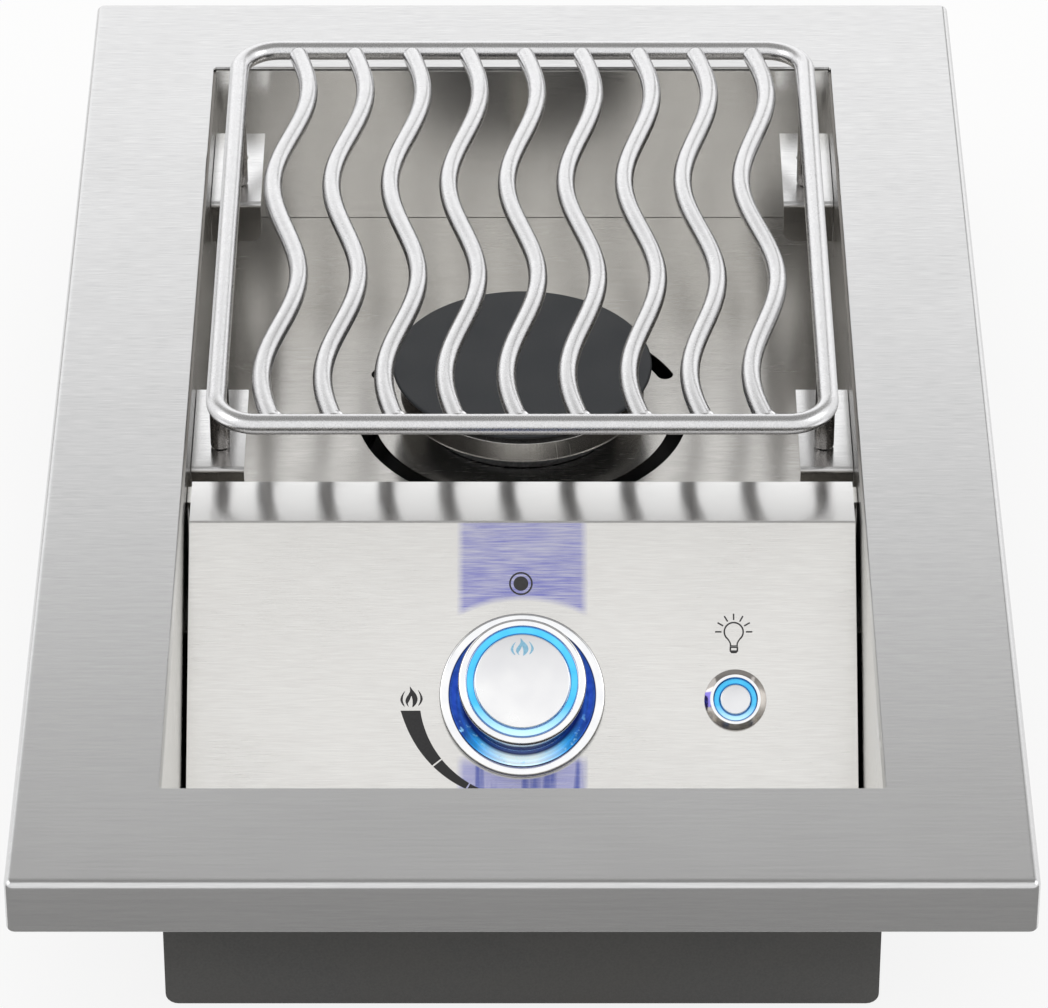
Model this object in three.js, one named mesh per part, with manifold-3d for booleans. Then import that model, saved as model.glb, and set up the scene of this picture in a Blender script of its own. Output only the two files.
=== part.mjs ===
// Built in gas side burner for an outdoor kitchen counter, in millimetres.
// X runs across, Y from the front (negative) to the rear, Z up. The origin lies under the middle
// of the trim, on the underside of the casing.
import * as THREE from 'three';
import { mergeVertices } from 'three/addons/utils/BufferGeometryUtils.js';
import Module from 'manifold-3d';

const wasm = await Module();
wasm.setup();

// Clearances that all pieces share
const gap = 0.3;
const overrun = 2;

// Trim frame: a folded stainless tray lid with an opening in it
const trimWidth = 355;
const trimLength = 584;
const trimSheet = 1.2;
const trimDrop = 22;
const trimReturn = 12;
const trimEdgeRadius = 1.6;
const trimCornerRadius = 3.2;
const sideBand = 50.6;
const frontBand = 53;
const rearBand = 51;
const openingCornerRadius = 1.5;

// Casing and the liner walls that hang in the opening
const casingHeight = 96.6;
const casingSheet = 0.6;
const casingBendRadius = 4.5;
const casingFlange = 16;
const linerSheet = 0.5;
const linerInset = 1;
const linerFlange = 14;
const linerFoot = 6;

// Burner floor, on the liner walls over the gas way
const floorHeight = 23.6;
const floorSheet = 1;
const floorFlange = 10;
const floorLap = 12.7;
const slotOuterRadius = 66.2;
const slotWidth = 6.6;
const frontSlotBridgeAngle = 12 * Math.PI / 180;
const rearSlotBridgeAngle = 21 * Math.PI / 180;

// Control panel: ledge, slope and foot in one sheet, and the burner well's share of the opening
const wellLengthShare = 0.5798;
const ledgeDepth = 12;
const ledgeLength = 25.7;
const panelSlope = 42 * Math.PI / 180;
const panelSideGap = 1.8;
const panelSheet = 1.2;
const panelFootLift = 2;
const panelFootLength = 14;
const baffleSheet = 0.8;
const baffleFlange = 10;
const baffleSetback = 1.3;

// Grate
const grateLift = 14;
const grateWallGap = 10.9;
const grateFrontGap = 0.5;
const grateRearGap = 8.8;
const grateCornerRadius = 16;
const frameRodRadius = 3.9;
const frameFlatShare = 0.2;
const waveRodRadius = 3.7;
const waveRodCount = 9;
const waveRodMargin = 22.5;
const waveHeight = 6.05;
const waveLength = 134.8;
const waveCrestToRear = 34.2;
const legRadius = 3.8;
const frontLegReach = 34.3;
const rearLegReach = 47.7;
const legChamfer = 0.8;
const legPinRadius = 2.6;
const legPinLength = 6;

// Brackets that carry the grate
const bracketDepth = 20;
const bracketSheet = 1.2;
const bracketWidth = 20;
const bracketLength = 53.4;
const bracketFrontToLeg = 15.4;
const bracketLip = 18;
const bracketLipCorner = 5;
const bracketWallFlange = 12;
const bracketHolePlay = 0.6;
const bracketHolePitch = 19.5;

// Burner
const burnerForward = 3.35;
const burnerHeight = 23.5;
const capLap = 3;
const capRim = 3.2;
const capRimRound = 1.4;
const capRingPlay = 0.4;
const capRingWall = 2.4;
const capRingDrop = 4;
const headTopRadius = 43;
const headWall = 7.2;
const headHeight = 11;
const headCrown = 4;
const headSkirtReach = 5.5;
const headSkirtEdge = 0.9;
const headSkirtWall = 1.4;
const headSeatHeight = 3.6;
const headSeatWall = 2.6;
const portCount = 24;
const portWidth = 1.8;
const portDepth = 2.6;
const baseFlangeReach = 2.5;
const baseFlangeSheet = 3.1;
const baseRimReach = 1.7;
const baseRimWall = 3.5;
const bowlRadius = 28;
const bowlWall = 2.6;
const bowlLift = 2;

// Gas way: venturi tube, orifice, inlet pipe and bulkhead fitting
const gasLineDrop = 10.7;
const venturiRadius = 8.3;
const venturiWall = 1.2;
const venturiLap = 4.3;
const venturiReach = 6;
const orificeRadius = 5;
const orificeLength = 8;
const nozzleRadius = 3;
const nozzleLength = 12;
const nozzleBore = 0.8;
const inletPipeRadius = 5;
const inletPipeInset = 21.9;
const inletBendRadius = 16;
const fittingRadius = 8;
const fittingBore = 4.4;
const fittingHex = 10.6;
const fittingHexLength = 7;
const fittingReach = 21;
const fittingNutLength = 6;

// Gas valve behind the panel, on the knob's axis
const knobFromFoot = 54.6;
const bonnetWidth = 36;
const bonnetDepth = 20;
const bonnetSheet = 2.6;
const bonnetNeckRadius = 6.4;
const valveScrewX = 13.2;
const valveBodyRadius = 11;
const valveBodyShort = 2.8;
const valvePlugRadius = 7;
const valvePlugLength = 17;
const valveArmRadius = 6.2;
const valveArmFrontLap = 10;
const valveOutletReach = 11.5;
const valveInletX = 21;
const stemRadius = 3;
const stemFlatShare = 0.55;
const stemFlatLength = 12;
const plugWall = 1.5;
const knobTravel = 3;

// Knob and its lit bezel
const bezelRadius = 30.65;
const bezelHeight = 3.5;
const bezelRingWidth = 3.6;
const bezelDishWidth = 6.05;
const bezelDishFloor = 1.3;
const bezelRound = 0.8;
const glowWidth = 3.5;
const glowHeight = 2.4;
const knobRadius = 23.5;
const knobTaper = 1.9;
const knobBaseHeight = 6;
const knobTopHeight = 29.6;
const knobRound = 2;
const knobRecess = 3.4;
const knobSocketRoof = 3.9;
const knobRim = 3;
const knobRingWidth = 2.75;
const knobWall = 2.2;
const knobHollowRoof = 6.2;
const knobHubRadius = 6.5;

// Lit push button beside the knob
const switchX = 78.9;
const switchBelowKnob = 1.65;
const switchFlangeReach = 2;
const switchFlangeHeight = 2.2;
const switchBarrelRadius = 9.5;
const switchBarrelLength = 17;
const switchWall = 1;
const switchMouthFlare = 0.65;
const switchMouthDepth = 0.9;
const switchButtonRadius = 5.6;
const switchButtonHead = 5;
const switchButtonStem = 2.5;
const switchButtonStemLength = 9;
const switchTravel = 1.5;
const switchNutWall = 1.5;
const switchNutLength = 4;
const switchBaseLength = 15;

// Igniter
const ceramicHeadGap = 0.7;
const ceramicRadius = 3.4;
const ceramicAbove = 11;
const ceramicBelow = 8;
const ceramicCollar = 1.2;
const ceramicCollarHeight = 2;
const electrodeRadius = 0.9;
const electrodeBend = 3;
const electrodeRise = 5.4;
const electrodeReach = 6.6;
const electrodeTail = 5;
const moduleInset = 20.9;
const moduleSetback = 16;
const moduleWidth = 54;
const moduleLength = 34;
const moduleHeight = 23;
const moduleRound = 3;
const leadRadius = 1.5;
const leadDrop = 12.6;

// Screws
const screwRadius = 1.6;
const screwHeadRadius = 3.6;
const screwHeadHeight = 2.2;
const screwPlay = 0.35;
const valveScrewLength = 6;
const panelScrewInset = 29.9;

// Facets on round pieces
const cornerSteps = 4;
const foldSteps = 2;
const grateCornerSteps = 5;
const inletBendSteps = 8;
const leadSteps = 30;
const electrodeSteps = 14;
const slotSteps = 10;
const rimSteps = 3;
const waveStepsPerWave = 12;
const roundSides = 32;
const barrelSides = 16;
const smallSides = 12;
const rodSides = 8;
const hexagonSides = 6;

// Heights and places that follow from the sizes above
const trimTop = casingHeight;
const floorTop = floorHeight;
const openingHalf = trimWidth / 2 - sideBand;
const openingFrontY = frontBand - trimLength / 2;
const openingRearY = trimLength / 2 - rearBand;
const ledgeTop = trimTop - ledgeDepth;
const ledgeRearY = openingRearY - wellLengthShare * (openingRearY - openingFrontY);
const ledgeFrontY = ledgeRearY - ledgeLength;
const linerX = openingHalf - linerInset;
const linerFrontY = openingFrontY;
const linerRearY = openingRearY - linerInset;
const linerFlangeTop = trimTop - trimSheet - gap;
const casingFlangeTop = linerFlangeTop - linerSheet - gap;
const casingX = linerX + linerSheet + gap + casingSheet;
const casingFrontY = linerFrontY - linerSheet - gap - casingSheet;
const casingRearY = linerRearY + linerSheet + gap + casingSheet;
const floorFrontY = ledgeRearY - floorLap;
const grateZ = trimTop + grateLift;
const grateBarX = linerX - grateWallGap;
const grateFrontY = ledgeRearY + grateFrontGap;
const grateRearY = linerRearY - grateRearGap;
const frontLegY = grateFrontY + frontLegReach;
const rearLegY = grateRearY - rearLegReach;
const bracketTop = trimTop - bracketDepth;
const burnerY = (ledgeRearY + linerRearY) / 2 - burnerForward;
const capTop = floorTop + burnerHeight;
const capUnder = capTop - capRim;
const headTop = capUnder - gap;
const headFoot = headTop - headHeight;
const headInnerRadius = headTopRadius - headWall;
const headSkirtRadius = headTopRadius + headSkirtReach;
const electrodeDistance = headSkirtRadius + ceramicHeadGap + ceramicCollar + ceramicRadius;
const baseRimRadius = headInnerRadius + baseRimReach;
const baseFlangeRadius = baseRimRadius + baseFlangeReach;
const burnerScrewX = (bowlRadius + baseFlangeRadius) / 2;
const gasLineZ = floorTop - gasLineDrop;
const inletPipeX = linerX - inletPipeInset;
const panelScrewX = linerX - panelScrewInset;
const screwHole = screwRadius + screwPlay;

// Finishes
function finish(color, roughness, metalness) {
  return new THREE.MeshStandardMaterial({ color, roughness, metalness });
}
const brushedStainless = finish(0xc4c3bf, 0.35, 1);
const satinRod = finish(0xd2d2d2, 0.3, 1);
const darkCasing = finish(0x454545, 0.6, 0.3);
const castAluminium = finish(0x8d8f91, 0.5, 1);
const blackEnamel = finish(0x323539, 0.45, 0);
const brass = finish(0xb5893f, 0.35, 1);
const brightChrome = finish(0xdfe3e8, 0.08, 1);
const blueLens = finish(0x40c8fa, 0.4, 0);
const blackPlastic = finish(0x1d1e20, 0.55, 0);
const whiteCeramic = finish(0xe9e6dd, 0.3, 0);
const orangeLead = finish(0xb4552d, 0.6, 0);
const zincSteel = finish(0xa9abad, 0.4, 1);

// A closed three.js geometry as a solid, with its shared corners merged
function toSolid(geometry) {
  const bare = geometry.clone();
  bare.deleteAttribute('normal');
  bare.deleteAttribute('uv');
  const merged = mergeVertices(bare);
  const corners = merged.index.array;
  const kept = [];
  for (let i = 0; i < corners.length; i += 3) {
    const [a, b, c] = corners.slice(i, i + 3);
    if (a !== b && b !== c && c !== a) kept.push(a, b, c);
  }
  return new wasm.Manifold(new wasm.Mesh({
    numProp: 3,
    vertProperties: new Float32Array(merged.attributes.position.array),
    triVerts: new Uint32Array(kept),
  }));
}

function toGeometry(solid) {
  const mesh = solid.getMesh();
  const geometry = new THREE.BufferGeometry();
  geometry.setAttribute('position', new THREE.BufferAttribute(mesh.vertProperties, 3));
  geometry.setIndex(new THREE.BufferAttribute(mesh.triVerts, 1));
  geometry.computeVertexNormals();
  return geometry;
}

// One geometry with others joined to it, and then more cut from it
function shaped(first, joined = [], cutters = []) {
  let solid = toSolid(first);
  for (const other of joined) solid = solid.add(toSolid(other));
  for (const cutter of cutters) solid = solid.subtract(toSolid(cutter));
  return toGeometry(solid);
}

// A box between two limits on each axis
function block(x0, x1, y0, y1, z0, z1) {
  const geometry = new THREE.BoxGeometry(x1 - x0, y1 - y0, z1 - z0);
  return geometry.translate((x0 + x1) / 2, (y0 + y1) / 2, (z0 + z1) / 2);
}

// A cylinder that stands on z0 and ends at z1
function post(radius, z0, z1, sides = smallSides) {
  const geometry = new THREE.CylinderGeometry(radius, radius, z1 - z0, sides);
  return geometry.rotateX(Math.PI / 2).translate(0, 0, (z0 + z1) / 2);
}

// The same cylinder laid along Y or along X
function postAlongY(radius, y0, y1, sides = smallSides) {
  const geometry = new THREE.CylinderGeometry(radius, radius, y1 - y0, sides);
  return geometry.translate(0, (y0 + y1) / 2, 0);
}

function postAlongX(radius, x0, x1, sides = smallSides) {
  const geometry = new THREE.CylinderGeometry(radius, radius, x1 - x0, sides);
  return geometry.rotateZ(-Math.PI / 2).translate((x0 + x1) / 2, 0, 0);
}

// A turned piece about Z from pairs of radius and height, counter-clockwise
function turned(pairs, sides = roundSides) {
  const points = pairs.map(([radius, height]) => new THREE.Vector2(radius, height));
  return new THREE.LatheGeometry(points, sides).rotateX(Math.PI / 2);
}

// A turned ring, whose outline closes on itself
function turnedRing(pairs, sides = roundSides) {
  return turned([...pairs, pairs[0]], sides);
}

// Pairs along a quarter circle, for rounded edges on turned pieces
function roundedPairs(centreRadius, centreHeight, radius, fromAngle, toAngle, steps) {
  const pairs = [];
  for (let i = 0; i <= steps; i += 1) {
    const angle = fromAngle + (toAngle - fromAngle) * i / steps;
    pairs.push([centreRadius + radius * Math.cos(angle), centreHeight + radius * Math.sin(angle)]);
  }
  return pairs;
}

function roundedRectangle(x0, x1, y0, y1, radius) {
  const shape = new THREE.Shape();
  shape.moveTo(x0 + radius, y0);
  shape.absarc(x1 - radius, y0 + radius, radius, -Math.PI / 2, 0, false);
  shape.absarc(x1 - radius, y1 - radius, radius, 0, Math.PI / 2, false);
  shape.absarc(x0 + radius, y1 - radius, radius, Math.PI / 2, Math.PI, false);
  shape.absarc(x0 + radius, y0 + radius, radius, Math.PI, 3 * Math.PI / 2, false);
  return shape;
}

function raised(shape, z0, z1, curveSegments = cornerSteps) {
  const options = { depth: z1 - z0, bevelEnabled: false, curveSegments };
  return new THREE.ExtrudeGeometry(shape, options).translate(0, 0, z0);
}

// A folded sheet's outline: the fold points thickened to the left of their direction
function foldedOutline(points, thickness) {
  const normals = [];
  for (let i = 0; i + 1 < points.length; i += 1) {
    const dx = points[i + 1][0] - points[i][0];
    const dy = points[i + 1][1] - points[i][1];
    const length = Math.hypot(dx, dy);
    normals.push([-dy / length, dx / length]);
  }
  const inner = points.map((point, i) => {
    const before = normals[Math.max(i - 1, 0)];
    const after = normals[Math.min(i, normals.length - 1)];
    const spread = 1 + before[0] * after[0] + before[1] * after[1];
    const shiftX = thickness * (before[0] + after[0]) / spread;
    const shiftY = thickness * (before[1] + after[1]) / spread;
    return [point[0] + shiftX, point[1] + shiftY];
  });
  const outline = [...points, ...inner.reverse()];
  return new THREE.Shape(outline.map(([x, y]) => new THREE.Vector2(x, y)));
}

// An outline drawn in Y and Z, run across from x0 to x1
const outlineAcross = new THREE.Matrix4().makeBasis(
  new THREE.Vector3(0, 1, 0),
  new THREE.Vector3(0, 0, 1),
  new THREE.Vector3(1, 0, 0),
);
function acrossX(shape, x0, x1) {
  return raised(shape, x0, x1).applyMatrix4(outlineAcross);
}

// An outline drawn in X and Z, run from the front at y0 to the rear at y1
const outlineBack = new THREE.Matrix4().makeBasis(
  new THREE.Vector3(1, 0, 0),
  new THREE.Vector3(0, 0, 1),
  new THREE.Vector3(0, -1, 0),
);
function alongY(shape, y0, y1) {
  return raised(shape, -y1, -y0).applyMatrix4(outlineBack);
}

function round(radius, sides) {
  const shape = new THREE.Shape();
  const halfStep = Math.PI / sides;
  for (let i = 0; i < sides; i += 1) {
    const angle = 2 * halfStep * i + halfStep;
    const x = radius * Math.cos(angle);
    const y = radius * Math.sin(angle);
    if (i === 0) shape.moveTo(x, y);
    else shape.lineTo(x, y);
  }
  return shape;
}

// A round bar along a curve
function barAlong(curve, radius, steps, sides = rodSides) {
  return new THREE.ExtrudeGeometry(round(radius, sides), { steps, extrudePath: curve });
}

const sideBurner = new THREE.Group();

function addPiece(name, geometry, material, parent = sideBurner) {
  const mesh = new THREE.Mesh(geometry, material);
  mesh.name = name;
  parent.add(mesh);
  return mesh;
}

// Trim frame: a bevelled slab, hollowed from below, with the opening cut through its top
function trimFrame() {
  const halfX = trimWidth / 2;
  const halfY = trimLength / 2;
  const bottom = trimTop - trimDrop;
  const edge = trimEdgeRadius;
  const edgeX = halfX - edge;
  const edgeY = halfY - edge;
  const plan = roundedRectangle(-edgeX, edgeX, -edgeY, edgeY, trimCornerRadius - edge);
  const slab = new THREE.ExtrudeGeometry(plan, {
    depth: trimDrop - 2 * edge,
    bevelThickness: edge,
    bevelSize: edge,
    bevelSegments: foldSteps,
    curveSegments: foldSteps,
  }).translate(0, 0, bottom + edge);
  const innerX = halfX - trimSheet;
  const innerY = halfY - trimSheet;
  const hollow = block(-innerX, innerX, -innerY, innerY, bottom + trimSheet, trimTop - trimSheet);
  const mouthX = halfX - trimReturn;
  const mouthY = halfY - trimReturn;
  const mouth = block(-mouthX, mouthX, -mouthY, mouthY, bottom - overrun, bottom + trimSheet + overrun);
  const window = raised(
    roundedRectangle(-openingHalf, openingHalf, openingFrontY, openingRearY, openingCornerRadius),
    trimTop - trimSheet - overrun,
    trimTop + overrun,
  );
  return shaped(slab, [], [hollow, mouth, window]);
}
addPiece('trim_frame', trimFrame(), brushedStainless);

// Outer casing: a folded box with rounded lower edges and a flange under the trim
function casingOutline(halfX, z0, z1, radius) {
  const shape = new THREE.Shape();
  shape.moveTo(-halfX, z1);
  shape.lineTo(-halfX, z0 + radius);
  shape.absarc(-halfX + radius, z0 + radius, radius, Math.PI, 3 * Math.PI / 2, false);
  shape.absarc(halfX - radius, z0 + radius, radius, -Math.PI / 2, 0, false);
  shape.lineTo(halfX, z1);
  return shape;
}
function outerCasing() {
  const outline = casingOutline(casingX, 0, casingFlangeTop, casingBendRadius);
  const body = alongY(outline, casingFrontY, casingRearY);
  const flange = block(
    -casingX - casingFlange,
    casingX + casingFlange,
    casingFrontY - casingFlange,
    casingRearY + casingFlange,
    casingFlangeTop - casingSheet,
    casingFlangeTop,
  );
  const innerX = casingX - casingSheet;
  const innerRadius = casingBendRadius - casingSheet;
  const inside = alongY(
    casingOutline(innerX, casingSheet, casingFlangeTop + overrun, innerRadius),
    casingFrontY + casingSheet,
    casingRearY - casingSheet,
  );
  const inletHole = postAlongY(fittingRadius + gap, casingRearY - overrun, casingRearY + overrun);
  inletHole.translate(inletPipeX, 0, gasLineZ);
  const cutters = [inside, inletHole];
  for (const side of [-1, 1]) {
    const screwY = panelFootFrontY + panelFootLength / 2;
    const hole = post(screwHole, -overrun, casingSheet + overrun);
    cutters.push(hole.translate(side * panelScrewX, screwY, 0));
  }
  return shaped(body, [flange], cutters);
}

// Liner walls: each an angle of thin sheet, with its flange under the trim
function linerSideWall(side) {
  const foldPoints = [
    [linerX + linerFlange, linerFlangeTop],
    [linerX, linerFlangeTop],
    [linerX, linerFoot],
  ];
  const outline = foldedOutline(foldPoints, linerSheet);
  const wall = alongY(outline, linerFrontY + linerSheet + gap, linerRearY - gap);
  if (side < 0) wall.rotateZ(Math.PI).translate(0, linerFrontY + linerSheet + linerRearY, 0);
  return shaped(wall);
}
function linerRearWall() {
  const foldPoints = [
    [linerRearY + linerFlange, linerFlangeTop],
    [linerRearY, linerFlangeTop],
    [linerRearY, linerFoot],
  ];
  const wall = acrossX(foldedOutline(foldPoints, linerSheet), -linerX, linerX);
  const hole = postAlongY(fittingRadius + gap, linerRearY - overrun, linerRearY + overrun);
  hole.translate(inletPipeX, 0, gasLineZ);
  return shaped(wall, [], [hole]);
}
function linerFrontWall() {
  const foldPoints = [
    [linerFrontY, linerFoot],
    [linerFrontY, linerFlangeTop],
    [linerFrontY - linerFlange, linerFlangeTop],
  ];
  return shaped(acrossX(foldedOutline(foldPoints, linerSheet), -linerX, linerX));
}

// Burner floor: a tray on the liner walls with two air slots round the burner
function arcSlot(fromAngle, toAngle) {
  const half = slotWidth / 2;
  const middle = slotOuterRadius - half;
  const start = fromAngle + half / middle;
  const end = toAngle - half / middle;
  const turn = Math.PI;
  const slot = new THREE.Shape();
  slot.absarc(0, 0, slotOuterRadius, start, end, false);
  slot.absarc(middle * Math.cos(end), middle * Math.sin(end), half, end, end + turn, false);
  slot.absarc(0, 0, middle - half, end, start, true);
  slot.absarc(middle * Math.cos(start), middle * Math.sin(start), half, start + turn, start, false);
  const cutter = raised(slot, floorTop - floorSheet - overrun, floorTop + overrun, slotSteps);
  return cutter.translate(0, burnerY, 0);
}
function burnerFloor() {
  const halfX = linerX - gap;
  const rearY = linerRearY - gap;
  const under = floorTop - floorSheet;
  const flangeFoot = under - floorFlange;
  const sheet = block(-halfX, halfX, floorFrontY, rearY, under, floorTop);
  const leftFlange = block(-halfX, -halfX + floorSheet, floorFrontY, rearY, flangeFoot, floorTop);
  const rightFlange = block(halfX - floorSheet, halfX, floorFrontY, rearY, flangeFoot, floorTop);
  const low = under - overrun;
  const high = floorTop + overrun;
  const cutters = [
    arcSlot(rearSlotBridgeAngle, Math.PI - rearSlotBridgeAngle),
    arcSlot(Math.PI + frontSlotBridgeAngle, 2 * Math.PI - frontSlotBridgeAngle),
    post(bowlRadius + gap, low, high, roundSides).translate(0, burnerY, 0),
    post(ceramicRadius + gap, low, high).translate(0, burnerY + electrodeDistance, 0),
  ];
  for (const side of [-1, 1]) {
    cutters.push(post(screwHole, low, high).translate(side * burnerScrewX, burnerY, 0));
  }
  return shaped(sheet, [leftFlange, rightFlange], cutters);
}

// Heat baffle: a channel that stands on the floor's front edge and carries the ledge
const baffleRearFace = ledgeRearY - baffleSetback;
function heatBaffle() {
  const foot = floorTop + gap;
  const top = ledgeTop - panelSheet - gap;
  const foldPoints = [
    [baffleRearFace - baffleFlange, foot],
    [baffleRearFace, foot],
    [baffleRearFace, top],
    [baffleRearFace - baffleFlange, top],
  ];
  const halfX = linerX - gap;
  return shaped(acrossX(foldedOutline(foldPoints, baffleSheet), -halfX, halfX));
}

// Control panel, and the frame of any point on its slope: local Z stands out of the sheet
const footTop = casingSheet + panelFootLift + panelSheet;
const slopeLength = (ledgeTop - footTop) / Math.sin(panelSlope);
const panelFootRearY = ledgeFrontY - slopeLength * Math.cos(panelSlope);
const panelFootFrontY = panelFootRearY - panelFootLength;
const knobDistance = slopeLength - knobFromFoot;
const switchDistance = knobDistance + switchBelowKnob;
function onPanel(x, distance) {
  const place = new THREE.Matrix4().makeRotationX(panelSlope);
  const y = ledgeFrontY - distance * Math.cos(panelSlope);
  const z = ledgeTop - distance * Math.sin(panelSlope);
  return place.setPosition(x, y, z);
}
function controlPanel() {
  const foldPoints = [
    [ledgeRearY, ledgeTop],
    [ledgeFrontY, ledgeTop],
    [panelFootRearY, footTop],
    [panelFootFrontY, footTop],
  ];
  const halfX = linerX - panelSideGap;
  const sheet = acrossX(foldedOutline(foldPoints, panelSheet), -halfX, halfX);
  const below = -panelSheet - overrun;
  const neckHole = post(bonnetNeckRadius + 2 * gap, below, overrun);
  const switchHole = post(switchBarrelRadius + gap, below, overrun, roundSides);
  const cutters = [
    neckHole.applyMatrix4(onPanel(0, knobDistance)),
    switchHole.applyMatrix4(onPanel(switchX, switchDistance)),
  ];
  for (const side of [-1, 1]) {
    cutters.push(post(screwHole, below, overrun).applyMatrix4(onPanel(side * valveScrewX, knobDistance)));
    const footMidY = panelFootFrontY + panelFootLength / 2;
    const footHole = post(screwHole, footTop - panelSheet - overrun, footTop + overrun);
    cutters.push(footHole.translate(side * panelScrewX, footMidY, 0));
  }
  return shaped(sheet, [], cutters);
}

addPiece('outer_casing', outerCasing(), darkCasing);
addPiece('liner_left_wall', linerSideWall(-1), brushedStainless);
addPiece('liner_right_wall', linerSideWall(1), brushedStainless);
addPiece('liner_rear_wall', linerRearWall(), brushedStainless);
addPiece('liner_front_wall', linerFrontWall(), brushedStainless);
addPiece('burner_floor', burnerFloor(), brushedStainless);
addPiece('heat_baffle', heatBaffle(), brushedStainless);
addPiece('control_panel', controlPanel(), brushedStainless);

// Grate brackets: a top plate with two holes, a lip in front and a flange on the wall
function grateBracket(side) {
  const outerX = linerX - gap;
  const innerX = outerX - bracketWidth;
  const frontY = -bracketFrontToLeg;
  const rearY = frontY + bracketLength;
  const foldPoints = [
    [rearY, bracketTop],
    [frontY, bracketTop],
    [frontY, bracketTop - bracketLip],
  ];
  const plate = acrossX(foldedOutline(foldPoints, bracketSheet), innerX, outerX);
  const wallFoot = bracketTop - bracketWallFlange;
  const wallFlange = block(outerX - bracketSheet, outerX, frontY, rearY, wallFoot, bracketTop);
  const cutters = [];
  for (const y of [0, bracketHolePitch]) {
    const holeFoot = bracketTop - bracketSheet - overrun;
    const hole = post(legPinRadius + bracketHolePlay, holeFoot, bracketTop + overrun);
    cutters.push(hole.translate(grateBarX, y, 0));
  }
  const cornerX = innerX + bracketLipCorner;
  const cornerZ = bracketTop - bracketLip + bracketLipCorner;
  const cutFrontY = frontY - overrun;
  const cutRearY = frontY + bracketSheet + overrun;
  const cutFoot = bracketTop - bracketLip - overrun;
  const corner = block(innerX - overrun, cornerX, cutFrontY, cutRearY, cutFoot, cornerZ);
  const keep = postAlongY(bracketLipCorner, cutFrontY - overrun, cutRearY + overrun);
  const cornerCutter = shaped(corner, [], [keep.translate(cornerX, 0, cornerZ)]);
  const bracket = shaped(plate, [wallFlange], [...cutters, cornerCutter]);
  if (side > 0) return bracket;
  return mirrored(bracket);
}

// The same piece for the left side: X is negated and the faces are turned back outward
function mirrored(geometry) {
  const flipped = geometry.clone().scale(-1, 1, 1);
  const corners = flipped.index.array;
  for (let i = 0; i < corners.length; i += 3) {
    [corners[i], corners[i + 1]] = [corners[i + 1], corners[i]];
  }
  flipped.computeVertexNormals();
  return flipped;
}

const legRows = [['front', frontLegY], ['rear', rearLegY]];
const sides = [['left', -1], ['right', 1]];
for (const [end, legY] of legRows) {
  for (const [sideName, side] of sides) {
    const name = `grate_bracket_${end}_${sideName}`;
    addPiece(name, grateBracket(side), brushedStainless).position.y = legY;
  }
}

// Grate: a round rod frame, wave rods between its front and rear bars, and four legs
const grate = new THREE.Group();
grate.position.z = grateZ;
sideBurner.add(grate);

function grateFrame() {
  const flat = frameRodRadius * frameFlatShare;
  const bevel = frameRodRadius - flat;
  const outer = roundedRectangle(
    -grateBarX - flat,
    grateBarX + flat,
    grateFrontY - flat,
    grateRearY + flat,
    grateCornerRadius + flat,
  );
  const inner = roundedRectangle(
    -grateBarX + flat,
    grateBarX - flat,
    grateFrontY + flat,
    grateRearY - flat,
    grateCornerRadius - flat,
  );
  outer.holes.push(inner);
  const ring = new THREE.ExtrudeGeometry(outer, {
    depth: 2 * flat,
    bevelThickness: bevel,
    bevelSize: bevel,
    bevelSegments: foldSteps,
    curveSegments: grateCornerSteps,
  });
  return shaped(ring.translate(0, 0, -flat));
}
addPiece('grate_frame', grateFrame(), satinRod, grate);

// The centre line of a wave rod, from the front bar's middle to the rear bar's
const waveCrestY = grateRearY - waveCrestToRear;
class WaveLine extends THREE.Curve {
  constructor(x, z) {
    super();
    this.x = x;
    this.z = z;
  }

  getPoint(t, target = new THREE.Vector3()) {
    const y = grateFrontY + (grateRearY - grateFrontY) * t;
    const swing = waveHeight * Math.cos(2 * Math.PI * (y - waveCrestY) / waveLength);
    return target.set(this.x + swing, y, this.z);
  }
}
const waveSteps = Math.round(waveStepsPerWave * (grateRearY - grateFrontY) / waveLength);

// A wave rod is sawn off flat where it butts against the frame's two bars
function waveRod(x) {
  const line = new WaveLine(x, frameRodRadius - waveRodRadius);
  const rod = barAlong(line, waveRodRadius, waveSteps);
  const reach = frameRodRadius + gap;
  const sideX = waveHeight + 2 * waveRodRadius;
  const ends = [grateFrontY, grateRearY].map((y) => (
    block(x - sideX, x + sideX, y - reach, y + reach, -reach, 2 * reach)
  ));
  return shaped(rod, [], ends);
}
for (let i = 0; i < waveRodCount; i += 1) {
  const x = (grateBarX - waveRodMargin) * (2 * i / (waveRodCount - 1) - 1);
  addPiece(`grate_rod_${i + 1}`, waveRod(x), satinRod, grate);
}

// A leg ends in a pin that drops into its bracket's hole, and its head fits the side bar over it
function grateLeg() {
  const foot = bracketTop + gap - grateZ;
  const leg = turned([
    [0, foot - legPinLength],
    [legPinRadius, foot - legPinLength],
    [legPinRadius, foot],
    [legRadius - legChamfer, foot],
    [legRadius, foot + legChamfer],
    [legRadius, 0],
    [0, 0],
  ], smallSides);
  const roomY = legRadius + overrun;
  const barRoom = postAlongY(frameRodRadius + 2 * gap, -roomY, roomY);
  return shaped(leg, [], [barRoom]);
}
for (const [end, legY] of legRows) {
  for (const [sideName, side] of sides) {
    const leg = addPiece(`grate_leg_${end}_${sideName}`, grateLeg(), satinRod, grate);
    leg.position.set(side * grateBarX, legY, 0);
  }
}

// Burner: the base bowl, the ported head and the loose cap share one upright axis
const burner = new THREE.Group();
burner.position.y = burnerY;
sideBurner.add(burner);

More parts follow.
